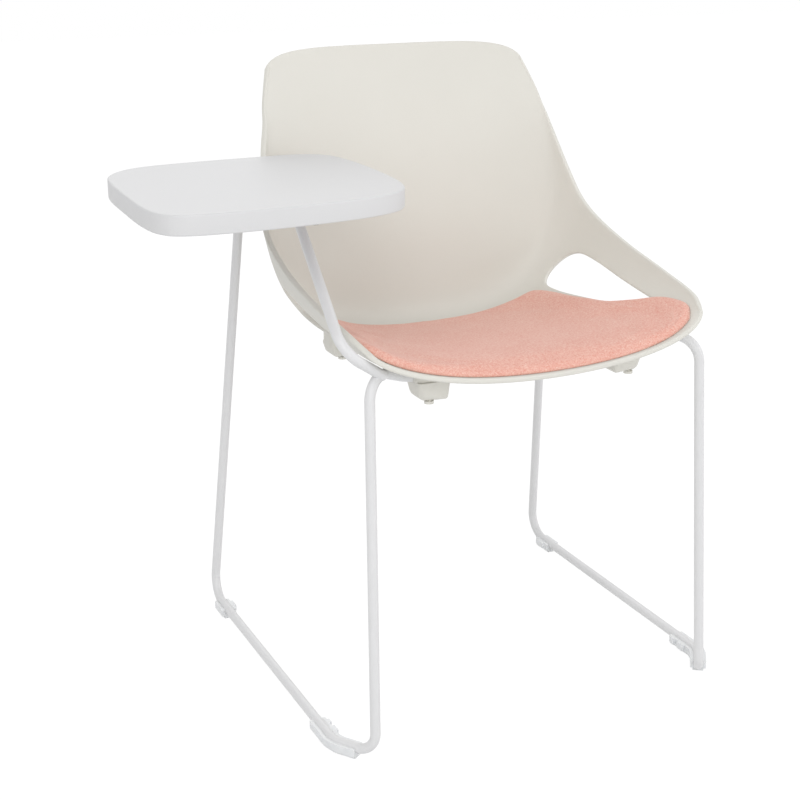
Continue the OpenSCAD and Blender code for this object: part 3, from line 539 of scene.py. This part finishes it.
for k, loop in enumerate(loops):
    ids = np.array(loop)
    edge = middle[ids]
    heart = edge.mean(0)
    # the window's edges face its own middle, so their outside is towards it
    far = heart if k == 0 else 2 * edge - heart
    radius = np.full((len(ids), 1), EDGE_R)
    if k:
        # each point's partner is the one across the window on the same row
        across = np.linalg.norm(edge - edge[-np.arange(len(ids))], axis=1, keepdims=True)
        from_tip = np.minimum(np.arange(len(ids)), len(ids) - np.arange(len(ids)))
        fitting = np.clip(across * TIP_SHARE, TIP_RADIUS, EDGE_R)
        radius = np.where((from_tip < len(ids) / 4)[:, None], fitting, radius)
    rings = edge_arcs(edge, upward[ids], half_wall[ids], far, radius)
    both[0][ids], both[1][ids] = rings[0], rings[-1]
    inner = rings[1:-1]
    own = [total + m * len(ids) + np.arange(len(ids)) for m in range(len(inner))]
    ring_ids = [ids, *own, ids + sheet]
    for one, two in zip(ring_ids, ring_ids[1:]):
        after = np.roll(np.arange(len(ids)), -1)
        faces += [(one[m], one[n], two[n], two[m]) for m, n in enumerate(after)]
    extra += inner
    total += len(inner) * len(ids)
shell_points = to_scene(np.concatenate(both + extra))
used = sorted({i for face in faces for i in face})
renumber = {old: new for new, old in enumerate(used)}
shell = make_piece(
    "moulded_shell", shell_points[used], [[renumber[i] for i in face] for face in faces],
    shell_plastic, "chair", ["shell"])
outward(shell)
print("shell:", len(shell.data.polygons), "faces,", len(loops), "edges")

# %% [markdown]
# ## The cushion
# A thin pad is bonded into the pan. Its cover is drawn down tight round a
# board, so the edge is low and round and the crown is full. Its outline
# narrows where the shell's windows are. The same rules as in the CAD part
# place it, on a finer grid. After the photograph it is a few millimetres wider
# than the solid at the front corners and at the rear.

# %% The cushion's form
PAD_EDGE, PAD_CROWN, PAD_GAP, PAD_RIPPLE = 3.15, 12.0, 0.4, 0.22
PAD_FRONT, PAD_FRONT_CURVE, PAD_REAR, PAD_REAR_CURVE = 0.010, 0.024, 0.435, 0.012
PAD_ROUND = 14
PAD_HALF = [0.795, 0.876, 0.864, 0.818, 0.726, 0.643, 0.610, 0.588, 0.576, 0.556, 0.525]


def pad_at(b, w):
    """The shell's a and v under a point of the pad."""
    v0 = PAD_FRONT + PAD_FRONT_CURVE * b**4
    v1 = PAD_REAR - PAD_REAR_CURVE * b**4
    return b * through(PAD_HALF, w), v0 + (v1 - v0) * w


def packed_ends(n, power=0.62):
    """Values from -1 to 1 that crowd together at both ends."""
    s = np.linspace(-1, 1, n)
    return np.sign(s) * (1 - (1 - np.abs(s))**(1 / power))


pad_b, pad_w = np.meshgrid(packed_ends(121), (packed_ends(105) + 1) / 2)
edge_b, edge_w = 1 - pad_b**PAD_ROUND, 1 - (2 * pad_w - 1)**PAD_ROUND
crown = np.sqrt(np.clip(edge_b * edge_w, 0, 1))
pa, pv = pad_at(pad_b, pad_w)
base, lift = skin(pa, pv), skin_normal(pa, pv)
rng = np.random.default_rng(7)
phase = rng.uniform(0, 2 * math.pi, (6, 3))
ripple = sum(np.sin(base[..., 0] * (0.02 + 0.012 * k) + p[0])
             * np.sin(base[..., 1] * (0.024 + 0.01 * k) + p[1]) / (k + 1)
             for k, p in enumerate(phase))
height = PAD_EDGE + (PAD_CROWN - PAD_EDGE + PAD_RIPPLE * ripple) * crown
top = base + lift * (WALL / 2 + height)[..., None]
under = base + lift * (WALL / 2 + PAD_GAP)
pad_rows, pad_cols = pad_b.shape
count = pad_rows * pad_cols


def ring_of(n_rows, n_cols):
    """The grid's outer points in order."""
    return ([(0, c) for c in range(n_cols)] + [(r, n_cols - 1) for r in range(1, n_rows)]
            + [(n_rows - 1, c) for c in range(n_cols - 2, -1, -1)]
            + [(r, 0) for r in range(n_rows - 2, 0, -1)])


pad_faces = []
for r in range(pad_rows - 1):
    for c in range(pad_cols - 1):
        i = r * pad_cols + c
        pad_faces.append((i, i + 1, i + pad_cols + 1, i + pad_cols))
        j = i + count
        pad_faces.append((j, j + pad_cols, j + pad_cols + 1, j + 1))
outline = [r * pad_cols + c for r, c in ring_of(pad_rows, pad_cols)]
for i, j in zip(outline, outline[1:] + outline[:1], strict=True):
    pad_faces.append((j, i, i + count, j + count))
pad_points = to_scene(np.concatenate([top.reshape(-1, 3), under.reshape(-1, 3)]))
cushion = make_piece("seat_cushion", pad_points, pad_faces, salmon_wool, "chair")
outward(cushion)
print("cushion:", len(cushion.data.polygons), "faces")

# %% [markdown]
# ## Letting the cover settle
# A cover that was only calculated looks calculated. A short cloth run with a
# little air under it lets the top find its own tension. The underside is
# pinned, gravity is off, and no point may travel further than the cap, so the
# pad keeps its place in the pan.

# %% A short cloth run on the cushion
SETTLE_CAP, AIR, FRAMES = 0.0016, 1.2, 16


def settle(piece, pinned, pressure, frames, cap):
    """Runs cloth with the pinned points held, and keeps a capped share of the movement."""
    before = np.array([v.co for v in piece.data.vertices])
    double = piece.copy()
    double.data = piece.data.copy()
    double.parent = None
    bpy.context.scene.collection.objects.link(double)
    pins = double.vertex_groups.new(name="pins")
    pins.add([int(i) for i in pinned], 1.0, "REPLACE")
    cloth = double.modifiers.new("cloth", "CLOTH")
    cloth.settings.vertex_group_mass = "pins"
    cloth.settings.use_pressure = True
    cloth.settings.uniform_pressure_force = pressure
    cloth.settings.effector_weights.gravity = 0.0
    cloth.settings.tension_stiffness = cloth.settings.compression_stiffness = 30.0
    cloth.settings.bending_stiffness = 2.0
    cloth.collision_settings.use_collision = False
    cloth.point_cache.frame_start, cloth.point_cache.frame_end = 1, frames
    for f in range(1, frames + 1):
        bpy.context.scene.frame_set(f)
    dg = bpy.context.evaluated_depsgraph_get()
    evaluated = double.evaluated_get(dg).data
    after = np.array([v.co for v in evaluated.vertices])
    bpy.context.scene.frame_set(1)
    bpy.data.objects.remove(double)
    move = after - before
    size = np.linalg.norm(move, axis=1, keepdims=True)
    move *= np.minimum(1, cap / np.maximum(size, TINY))
    piece.data.vertices.foreach_set("co", (before + move).ravel().astype(np.float32))
    piece.data.update()
    return float(size.max()), float(np.linalg.norm(move, axis=1).max())


held = sorted({*outline, *range(count, 2 * count)})
free, kept = settle(cushion, held, AIR, FRAMES, SETTLE_CAP)
print(f"cloth moved the cover up to {free * 1000:.1f} mm, kept {kept * 1000:.1f} mm")
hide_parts("seat_pad")

# %% [markdown]
# ## Bent rod
# The frame is 12 mm rod, bent cold and welded. A rod is a round section swept
# along a path, which is exactly what Geometry Nodes' Curve to Mesh does. The
# path is a list of corners with a bend radius for each, and the corners are
# turned into arcs here, as a bending machine does.

# %% The rods' paths
ROD, SOLE = 12.0, 5.0
ROD_Z = SOLE + ROD / 2
FOOT_HALF, RUNNER_HALF, RUNNER_START, SLED_DEPTH = 225, 258, 47, 480
KNEE_TUCK, KNEE_LEAN, KNEE_Z, RAIL_Z, RAIL_START = 9.5, 33, 461.5, 645 - 34, 230
LEG_IN, LEG_FORWARD, WELD_SHARE = 0.0565, 0.128, 0.36


def arm(y, z, rows_of):
    """An arm under the seat, from shares of the rod's size at stated places."""
    return [(x, y + ROD * dy, z + ROD * dz) for x, dy, dz in rows_of]


ARM_X = (161.2, 108.0, 74.76, 44.76)
front_arm = arm(DEPTH * 0.164, LIP - ROD * 1.17, [
    (ARM_X[0], -0.5, 1.22), (ARM_X[1], 0, 0.33), (ARM_X[2], 0, 0), (ARM_X[3], 0, 0)])
rear_arm = arm(DEPTH * 0.759, LIP - ROD * 3.83, [
    (ARM_X[0] + ROD * 0.2, 0.9, 1.92), (ARM_X[1], 0, 0.75), (ARM_X[2], 0, 0), (ARM_X[3], 0, 0)])


def rear_leg(z):
    """The rear leg's centre at a height."""
    rise = z - ROD_Z
    return (RUNNER_HALF - rise * LEG_IN, SLED_DEPTH - rise * LEG_FORWARD, z)


front_foot, runner_front = (FOOT_HALF, 0, ROD_Z), (RUNNER_HALF, RUNNER_START, ROD_Z)
knee = (FOOT_HALF - KNEE_TUCK, KNEE_LEAN, KNEE_Z)
rail = rear_leg(RAIL_Z)
weld = np.array(knee) + WELD_SHARE * (np.array(front_arm[0]) - knee)
weld -= (0, ROD * 0.55, ROD * 0.17)
post = [weld, (rail[0] + ROD * 1.95, knee[1] - ROD * 0.33, knee[2] + ROD * 2.05),
        (rail[0], RAIL_START, rail[2]), rail]
sled = [(RUNNER_HALF, SLED_DEPTH, ROD_Z), runner_front, front_foot, knee]
plain_route = rear_arm[::-1] + [rear_leg(LIP - ROD * 2.75)] + sled + front_arm
plain_radii = [24, 24, 24, 34, 31, 40, 24, 34, 24, 24, 24]
tablet_route = post + sled + front_arm
tablet_radii = [30, 40, 40, 31, 40, 24, 26.4, 24, 24, 24]


def bent(route, radii, step=0.06):
    """Corners as a smooth path: straights, and arcs in steps of an angle."""
    p = [np.array(q, float) for q in route]
    out = [p[0]]
    for i, r in enumerate(radii, start=1):
        d1 = (p[i] - p[i - 1]) / np.linalg.norm(p[i] - p[i - 1])
        d2 = (p[i + 1] - p[i]) / np.linalg.norm(p[i + 1] - p[i])
        turn = math.acos(float(np.clip(d1 @ d2, -1, 1)))
        cut = r * math.tan(turn / 2)
        side = (d2 - d1) / np.linalg.norm(d2 - d1)
        centre = p[i] + side * r / math.cos(turn / 2)
        spoke = (p[i] - d1 * cut - centre) / r
        n = max(3, int(turn / step))
        for k in range(n + 1):
            t = turn * k / n
            out.append(centre + r * (spoke * math.cos(t) + d1 * math.sin(t)))
    return np.array(out + [p[-1]])


length = np.linalg.norm(np.diff(bent(plain_route, plain_radii), axis=0), axis=1).sum()
print(f"the plain side's rod is {length / 1000:.2f} m long before bending")

# %% [markdown]
# ## Sweeping the rod
# The tree below takes a chain of edges, turns it into a curve, and sweeps a
# circle along it. Its rod radius and its smoothness are named inputs, so the
# same tree makes every rod. The result is baked to a plain mesh, because a
# live modifier would be lost in other programs.

# %% A tree that sweeps a rod


def add_node(tree, kind, links=None, **settings):
    """Adds a node to a tree, with values or links for its sockets by name or place."""
    made = tree.nodes.new(kind)
    for key, value in settings.items():
        setattr(made, key, value)
    for key, value in (links or {}).items():
        if isinstance(value, bpy.types.NodeSocket):
            tree.links.new(value, made.inputs[key])
        else:
            made.inputs[key].default_value = value
    return made


def new_tree(name, numbers):
    """A geometry tree with a mesh in and out and named number inputs."""
    tree = bpy.data.node_groups.new(name, "GeometryNodeTree")
    face = tree.interface
    face.new_socket("Geometry", in_out="INPUT", socket_type="NodeSocketGeometry")
    for key, value in numbers.items():
        kind = "NodeSocketInt" if isinstance(value, int) else "NodeSocketFloat"
        made = face.new_socket(key, in_out="INPUT", socket_type=kind)
        made.default_value = value
    face.new_socket("Geometry", in_out="OUTPUT", socket_type="NodeSocketGeometry")
    return tree, tree.nodes.new("NodeGroupInput"), tree.nodes.new("NodeGroupOutput")


ROD_SIDES = 40
sweep_tree, given, result = new_tree("sweep_rod", {"Rod radius": 0.006, "Sides": ROD_SIDES})
curve = add_node(sweep_tree, "GeometryNodeMeshToCurve", {"Mesh": given.outputs["Geometry"]})
circle = add_node(sweep_tree, "GeometryNodeCurvePrimitiveCircle", {
    "Resolution": given.outputs["Sides"], "Radius": given.outputs["Rod radius"]})
tube = add_node(sweep_tree, "GeometryNodeCurveToMesh", {
    "Curve": curve.outputs[0], "Profile Curve": circle.outputs[0], "Fill Caps": True})
whole = add_node(sweep_tree, "GeometryNodeRealizeInstances", {"Geometry": tube.outputs[0]})
coated = add_node(sweep_tree, "GeometryNodeSetMaterial", {
    "Geometry": whole.outputs[0], "Material": powder_coat})
sweep_tree.links.new(coated.outputs[0], result.inputs["Geometry"])


def bake(name, verts, edges, tree, inputs):
    """Runs a geometry tree on points and edges, and returns a plain mesh piece."""
    source = bpy.data.meshes.new(name + "_source")
    source.from_pydata([tuple(v) for v in verts], edges, [])
    holder = bpy.data.objects.new(name + "_source", source)
    bpy.context.scene.collection.objects.link(holder)
    mod = holder.modifiers.new("tree", "NODES")
    mod.node_group = tree
    for item in tree.interface.items_tree:
        if item.item_type == "SOCKET" and item.in_out == "INPUT" and item.name in inputs:
            mod[item.identifier] = inputs[item.name]
    dg = bpy.context.evaluated_depsgraph_get()
    mesh = bpy.data.meshes.new_from_object(holder.evaluated_get(dg))
    bpy.data.objects.remove(holder)
    mesh.name = name
    piece = bpy.data.objects.new(name, mesh)
    bpy.context.scene.collection.objects.link(piece)
    print(name + ":", len(mesh.polygons), "faces from the tree", tree.name)
    return piece


def flat_ends(piece, angle):
    """Keeps sharp corners sharp under smooth shading."""
    piece.data.set_sharp_from_angle(angle=angle)


# %% [markdown]
# The two side frames are alike but for the tablet's rail and post. Each path
# is drawn on the sitter's left, and the tablet's is mirrored.

# %% Sweep the frame's rods
END_ANGLE, CORNER_ANGLE = 0.9, 0.6


def rod_piece(name, route, radii, mirrored, stands_for):
    """One bent rod of the frame, in place of its solid."""
    path = bent(route, radii)
    if mirrored:
        path = path * np.array([-1, 1, 1])
    edges = [(i, i + 1) for i in range(len(path) - 1)]
    piece = bake(name, to_scene(path), edges, sweep_tree, {
        "Rod radius": ROD / 2000, "Sides": ROD_SIDES})
    dress(piece, powder_coat, "chair", [stands_for])
    outward(piece)
    flat_ends(piece, END_ANGLE)


rod_piece("plain_side_rod", plain_route, plain_radii, False, "plain_side_frame")
rod_piece("tablet_side_rod", tablet_route, tablet_radii, True, "tablet_side_frame")

# %% [markdown]
# ## The tablet
# The writing tablet is a moulded slab with a soft square outline. It isn't a
# rectangle with round corners: every side is a little bowed. Its outline is a
# closed smooth curve through shares of its half width and half depth. The
# edge is rounded by drawing the outline in as it rises.

# %% The tablet's outline
TAB_W, TAB_L, TAB_TOP, TAB_T, TAB_WALL = 309.0, 308.0, 645.0, 22.0, 3.5
TAB_REACH, TAB_FRONT, LINE_STEPS = 436, 42, 10
TAB_MID = np.array([TAB_W / 2 - TAB_REACH, TAB_FRONT + TAB_L / 2])
OUTLINE = np.array([
    [1.00, 0.20], [0.99, 0.53], [0.93, 0.83], [0.75, 0.97], [0.44, 1.00],
    [-0.27, 0.98], [-0.64, 0.91], [-0.86, 0.72], [-0.95, 0.45], [-0.985, -0.05],
    [-1.00, -0.55], [-0.96, -0.83], [-0.82, -0.96], [-0.47, -1.00], [-0.03, -0.99],
    [0.46, -0.93], [0.75, -0.82], [0.89, -0.66], [0.96, -0.42], [0.99, -0.11]])


def tablet_line(steps):
    """The outline's points and outward directions, round once."""
    n = len(OUTLINE)
    t = np.arange(n * steps) / steps

    def at(x):
        """The closed curve at places counted in outline points."""
        i = np.floor(x).astype(int)
        f = (x - i)[:, None]
        p0, p1, p2, p3 = (OUTLINE[(i + k) % n] for k in (-1, 0, 1, 2))
        s = 0.5 * (2 * p1 + (p2 - p0) * f + (2 * p0 - 5 * p1 + 4 * p2 - p3) * f**2
                   + (3 * p1 - p0 - 3 * p2 + p3) * f**3)
        return TAB_MID + s * np.array([TAB_W, TAB_L]) / 2

    run = at(t + 0.2) - at(t - 0.2)
    out = np.stack([run[:, 1], -run[:, 0]], 1)
    return at(t), out / np.linalg.norm(out, axis=1, keepdims=True)


line, out = tablet_line(LINE_STEPS)
print("tablet outline:", len(line), "points,", (line.max(0) - line.min(0)).round(), "mm")

# %% [markdown]
# ## Closing the tablet
# Rings of the outline are stacked from the skirt's inside edge, round the
# lower corner, up the side, round the upper corner and in over the top. The
# top is filled by drawing the last ring in to the middle in steps, so that
# every face stays small and evenly lit. A deck closes the slab from below.

# %% Build the tablet
TOP_R, LOW_R = 2.0, 1.6
profile = [(TAB_WALL, 3.0), (TAB_WALL, 0.0)]
profile += [(LOW_R * (1 - math.sin(t)), LOW_R * (1 - math.cos(t)))
            for t in np.linspace(0, math.pi / 2, 6)]
profile += [(TOP_R * (1 - math.cos(t)), TAB_T - TOP_R * (1 - math.sin(t)))
            for t in np.linspace(0, math.pi / 2, 9)]
rings = [np.column_stack([line - out * inset, np.full(len(line), TAB_TOP - TAB_T + up)])
         for inset, up in profile]
flat = rings[-1]
for share in (0.97, 0.9, 0.75, 0.55, 0.35, 0.15):
    inner = flat.copy()
    inner[:, :2] = TAB_MID + (flat[:, :2] - TAB_MID) * share
    rings.append(inner)
n = len(line)
tab_points = np.concatenate(rings + [[[*TAB_MID, TAB_TOP]]])
pairs = [(i, (i + 1) % n) for i in range(n)]
tab_faces = [(k * n + i, k * n + j, (k + 1) * n + j, (k + 1) * n + i)
             for k in range(len(rings) - 1) for i, j in pairs]
hub, last = len(tab_points) - 1, (len(rings) - 1) * n
tab_faces += [(last + i, last + j, hub) for i, j in pairs]
deck = np.column_stack([line - out * TAB_WALL, np.full(n, TAB_TOP - TAB_WALL)])
deck_start = len(tab_points)
tab_points = np.concatenate([tab_points, deck, [[*TAB_MID, TAB_TOP - TAB_WALL]]])
tab_faces += [(i, deck_start + i, deck_start + j, j) for i, j in pairs]
tab_faces += [(deck_start + j, deck_start + i, deck_start + n) for i, j in pairs]
tablet = make_piece("tablet_slab", to_scene(tab_points), tab_faces, tablet_plastic, "tablet",
                    ["tablet_top"])
outward(tablet)
flat_ends(tablet, CORNER_ANGLE)
print("tablet:", len(tablet.data.polygons), "faces")

# %% [markdown]
# ## Screws
# Fasteners repeat, so one tree makes them all: a low round head with a cross
# recess, set on every point it is given. Only the head shows, but the shank
# stays too, because the chair may be taken apart in another program. The clip
# screws show in the shell's colour, as the photograph has them.

# %% A tree that sets screws on points
screw_tree, given, result = new_tree("set_screws", {
    "Head radius": 0.004, "Head height": 0.002, "Shank radius": 0.002, "Shank length": 0.012})


def number(tree, operation, a, b):
    """A Math node between two numbers or sockets."""
    return add_node(tree, "ShaderNodeMath", {0: a, 1: b}, operation=operation).outputs[0]


def moved(tree, geometry, z):
    """A geometry lifted along z."""
    lift = add_node(tree, "ShaderNodeCombineXYZ", {"Z": z}).outputs[0]
    return add_node(tree, "GeometryNodeTransform", {
        "Geometry": geometry, "Translation": lift}).outputs[0]


radius, head = given.outputs["Head radius"], given.outputs["Head height"]
shank_r, shank_l = given.outputs["Shank radius"], given.outputs["Shank length"]
disc = add_node(screw_tree, "GeometryNodeMeshCylinder", {
    "Vertices": 28, "Radius": radius, "Depth": head}).outputs["Mesh"]
disc = moved(screw_tree, disc, number(screw_tree, "MULTIPLY", head, 0.5))
bar_long = number(screw_tree, "MULTIPLY", radius, 1.1)
bar_wide = number(screw_tree, "MULTIPLY", radius, 0.22)
bars = []
for x, y in ((bar_long, bar_wide), (bar_wide, bar_long)):
    size = add_node(screw_tree, "ShaderNodeCombineXYZ", {
        "X": x, "Y": y, "Z": number(screw_tree, "MULTIPLY", head, 1.2)}).outputs[0]
    bars.append(add_node(screw_tree, "GeometryNodeMeshCube", {"Size": size}).outputs["Mesh"])
cut = add_node(screw_tree, "GeometryNodeMeshBoolean", operation="DIFFERENCE")
screw_tree.links.new(disc, cut.inputs["Mesh 1"])
for bar in bars:
    screw_tree.links.new(bar, cut.inputs["Mesh 2"])
shank = add_node(screw_tree, "GeometryNodeMeshCylinder", {
    "Vertices": 16, "Radius": shank_r, "Depth": shank_l}).outputs["Mesh"]
shank = moved(screw_tree, shank, number(
    screw_tree, "ADD", head, number(screw_tree, "MULTIPLY", shank_l, 0.5)))
both = add_node(screw_tree, "GeometryNodeJoinGeometry")
for part in (cut.outputs["Mesh"], shank):
    screw_tree.links.new(part, both.inputs[0])
on_points = add_node(screw_tree, "GeometryNodeInstanceOnPoints", {
    "Points": given.outputs["Geometry"], "Instance": both.outputs[0]})
real = add_node(screw_tree, "GeometryNodeRealizeInstances", {"Geometry": on_points.outputs[0]})
plated = add_node(screw_tree, "GeometryNodeSetMaterial", {
    "Geometry": real.outputs[0], "Material": zinc_plate})
screw_tree.links.new(plated.outputs[0], result.inputs["Geometry"])


# %% [markdown]
# The solids already say where each screw is and how large. A node's separate
# solids are found by walking along their edges, and their boxes set the points.

# %% Set the screws


def islands(node):
    """The separate solids of a CAD node, each as a low and a high corner."""
    bm = bmesh.new()
    bm.from_mesh(nodes[node].data)
    bmesh.ops.remove_doubles(bm, verts=bm.verts, dist=1e-6)
    left, out_boxes = set(bm.verts), []
    while left:
        stack, seen = [left.pop()], []
        while stack:
            v = stack.pop()
            seen.append(v.co.copy())
            for e in v.link_edges:
                o = e.other_vert(v)
                if o in left:
                    left.remove(o)
                    stack.append(o)
        co = np.array(seen)
        out_boxes.append((co.min(0), co.max(0)))
    bm.free()
    return sorted(out_boxes, key=lambda b: tuple(b[0].round(4)))


def screws(name, node, body, head_height, shank_radius, finish=zinc_plate):
    """Detailed screws in place of a node's plain ones."""
    found = islands(node)
    heads = [((lo + hi) / 2)[:2].tolist() + [lo[2]] for lo, hi in found]
    lo, hi = found[0]
    piece = bake(name, heads, [], screw_tree, {
        "Head radius": float(hi[0] - lo[0]) / 2, "Head height": head_height,
        "Shank radius": shank_radius, "Shank length": float(hi[2] - lo[2]) - head_height})
    dress(piece, finish, body, [node], smooth=False)


screws("clip_screw_heads", "clip_screws", "chair", 0.00297, 0.00253, shell_plastic)
screws("tablet_screw_heads", "tablet_screws", "tablet", 0.002, 0.0019)
screws("hinge_screw_heads", "hinge_screws", "tablet", 0.0026, 0.0024)

# %% [markdown]
# ## Soft edges on small mouldings
# The clips, glides and hinge blocks have the right shape, but a solid's edges
# are knife sharp, and no moulded edge is. A copy of the solid gets its loose
# triangles joined, its flat faces merged and its edges bevelled.

# %% Soften the small pieces
BEVEL_STEPS, WELD_DIST, FLAT_LIMIT, SHARP_LIMIT = 3, 2e-6, math.radians(3), math.radians(35)


def softened(node, width, material):
    """A bevelled copy of a CAD solid, in its place."""
    bm = bmesh.new()
    bm.from_mesh(nodes[node].data)
    bmesh.ops.remove_doubles(bm, verts=bm.verts, dist=WELD_DIST)
    bmesh.ops.dissolve_limit(bm, angle_limit=FLAT_LIMIT, verts=bm.verts, edges=bm.edges)
    mesh = bpy.data.meshes.new(node + "_soft")
    bm.to_mesh(mesh)
    bm.free()
    piece = bpy.data.objects.new(node + "_soft", mesh)
    bpy.context.scene.collection.objects.link(piece)
    dress(piece, material, nodes[node]["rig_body"], [node])
    edge = piece.modifiers.new("edge", "BEVEL")
    edge.width, edge.segments = width, BEVEL_STEPS
    edge.limit_method, edge.angle_limit = "ANGLE", SHARP_LIMIT
    edge.use_clamp_overlap = True
    flat_ends(piece, CORNER_ANGLE)


for place in ("front_left", "front_right", "rear_left", "rear_right"):
    softened("clip_" + place, 0.0008, shell_plastic)
    softened("glide_" + place, 0.0009, milky_nylon)
for part in ("hinge_block_front", "hinge_block_rear", "hinge_cap_front", "hinge_cap_rear"):
    softened(part, 0.0012, tablet_plastic)
softened("tablet_bumper", 0.001, bumper_rubber)
softened("tilt_stop", 0.0008, powder_coat)

# %% [markdown]
# ## The solids that stay
# The board in the pad, the cross tubes, the stay, the bosses, the cover under
# the tablet and the bushes have their right shape already. They only change
# their finish.

# %% Finish the remaining solids
finishes = {
    "pad_board": board_plastic, "front_cross_tube": powder_coat, "rear_cross_tube": powder_coat,
    "seat_stay": powder_coat, "boss_front_left": shell_plastic, "boss_front_right": shell_plastic,
    "boss_rear_left": shell_plastic, "boss_rear_right": shell_plastic,
    "tablet_base": tablet_plastic, "hinge_bushes": bush_plastic}
for node, material in finishes.items():
    nodes[node].data.materials.clear()
    nodes[node].data.materials.append(material)
for node in ("front_cross_tube", "rear_cross_tube", "seat_stay", "hinge_bushes"):
    for poly in nodes[node].data.polygons:
        poly.use_smooth = True
print("kept solids:", len(finishes))

# %% [markdown]
# ## Floor and backdrop
# The photograph's ground is plain white. A floor that is lit to white would
# need so much light that the chair burns out. Instead, rays that come straight
# from the camera, or by way of a shiny or a clear surface, see a floor that
# glows white, and a share of its true lit colour keeps the chair's shadow.

# %% A white floor that keeps its shadow


def seen_directly(tree):
    """1 where a ray comes from the camera, from gloss or through glass."""
    path = tree.nodes.new("ShaderNodeLightPath")
    camera, glossy, clear = (Wire(tree, path.outputs[k]) for k in (
        "Is Camera Ray", "Is Glossy Ray", "Is Transmission Ray"))
    total = camera + glossy + clear
    return total.sum_up("MINIMUM", total, 1.0)


SHADOW_SHARE, FLOOR_GREY, GLOW, FLOOR_HALF = 0.14, 0.82, 1.1, 9
ground = bpy.data.materials.new("pale_floor")
ground.use_nodes = True
tree = ground.node_tree
tree.nodes.clear()
matt = tree.nodes.new("ShaderNodeBsdfDiffuse")
matt.inputs["Color"].default_value = (FLOOR_GREY, FLOOR_GREY, FLOOR_GREY, 1)
glow = tree.nodes.new("ShaderNodeEmission")
glow.inputs["Color"].default_value = (1, 1, 1, 1)
glow.inputs["Strength"].default_value = GLOW
share = tree.nodes.new("ShaderNodeMixShader")
plug(tree, seen_directly(tree) * (1 - SHADOW_SHARE), share.inputs[0])
tree.links.new(matt.outputs[0], share.inputs[1])
tree.links.new(glow.outputs[0], share.inputs[2])
end = tree.nodes.new("ShaderNodeOutputMaterial")
tree.links.new(share.outputs[0], end.inputs["Surface"])

floor_mesh = bpy.data.meshes.new("floor")
corners = [(x * FLOOR_HALF, y * FLOOR_HALF, 0) for x, y in ((-1, -1), (1, -1), (1, 1), (-1, 1))]
floor_mesh.from_pydata(corners, [], [(0, 1, 2, 3)])
floor = bpy.data.objects.new("floor", floor_mesh)
bpy.context.scene.collection.objects.link(floor)
floor_mesh.materials.append(ground)

world = bpy.data.worlds.new("studio")
bpy.context.scene.world = world
world.use_nodes = True
sky = world.node_tree.nodes["Background"]
sky.inputs["Color"].default_value = (1, 1, 1, 1)
SKY_LIGHT = 0.66
seen = seen_directly(world.node_tree)
plug(world.node_tree, seen * (1 - SKY_LIGHT) + SKY_LIGHT, sky.inputs["Strength"])
print("floor share of shadow:", SHADOW_SHARE, "sky light:", SKY_LIGHT)

# %% [markdown]
# ## Light
# Product photographs use very large soft boxes. One hangs high in front and to
# the left, one fills from the right, one low in front reaches into the seat,
# and one behind lifts the edges of the back. Large lamps give the broad,
# edgeless shading that the photograph has.

# %% Four soft boxes


def soft_box(name, place, aim, size, power):
    """A large square lamp that faces a point."""
    data = bpy.data.lights.new(name, "AREA")
    data.shape, data.size, data.energy = "SQUARE", size, power
    lamp = bpy.data.objects.new(name, data)
    bpy.context.scene.collection.objects.link(lamp)
    lamp.location = place
    lamp.rotation_euler = (Vector(aim) - Vector(place)).to_track_quat("-Z", "Y").to_euler()


soft_box("key", (-1.6, -1.9, 2.7), (0, 0, 0.45), 2.4, 22)
soft_box("fill", (2.4, -1.3, 1.5), (0, 0, 0.4), 2.2, 15)
soft_box("front", (-0.9, -3.2, 1.1), (0, 0.1, 0.45), 2.6, 22)
soft_box("back", (0.4, 2.4, 2.4), (0, 0.1, 0.5), 2.0, 14)

# %% [markdown]
# ## Camera
# The camera was found by fitting the legs, the runners and the tablet to the
# photograph. Its middle is a few pixels off the picture's middle, which the
# lens shift makes up for.

# %% The photograph's camera
AZIMUTH, ELEVATION = math.radians(-25.2), math.radians(18.35)
PICTURE, SENSOR, FOCAL_PIXELS, EYE = 800, 36, 1496.35, [-840.05, -1369.49, 945.43]
MIDDLE_X, MIDDLE_Y = 398.96, 392.89
back_dir = Vector((math.sin(AZIMUTH) * math.cos(ELEVATION),
                   -math.cos(AZIMUTH) * math.cos(ELEVATION), math.sin(ELEVATION)))
right_dir = Vector((0, 0, 1)).cross(back_dir).normalized()
up_dir = back_dir.cross(right_dir)
cam_data = bpy.data.cameras.new("camera")
cam_data.lens, cam_data.sensor_width = SENSOR * FOCAL_PIXELS / PICTURE, SENSOR
cam_data.shift_x = (PICTURE / 2 - MIDDLE_X) / PICTURE
cam_data.shift_y = (MIDDLE_Y - PICTURE / 2) / PICTURE
camera = bpy.data.objects.new("camera", cam_data)
bpy.context.scene.collection.objects.link(camera)
place = Vector(to_scene(EYE))
turn = Matrix((right_dir, up_dir, back_dir)).transposed().to_4x4()
camera.matrix_world = Matrix.Translation(place) @ turn
cam_data.clip_start, cam_data.clip_end = 0.1, 50
bpy.context.scene.camera = camera
bpy.context.scene.view_settings.view_transform = "Standard"
print("camera at", tuple(round(c, 3) for c in place), "lens", round(cam_data.lens, 1), "mm")
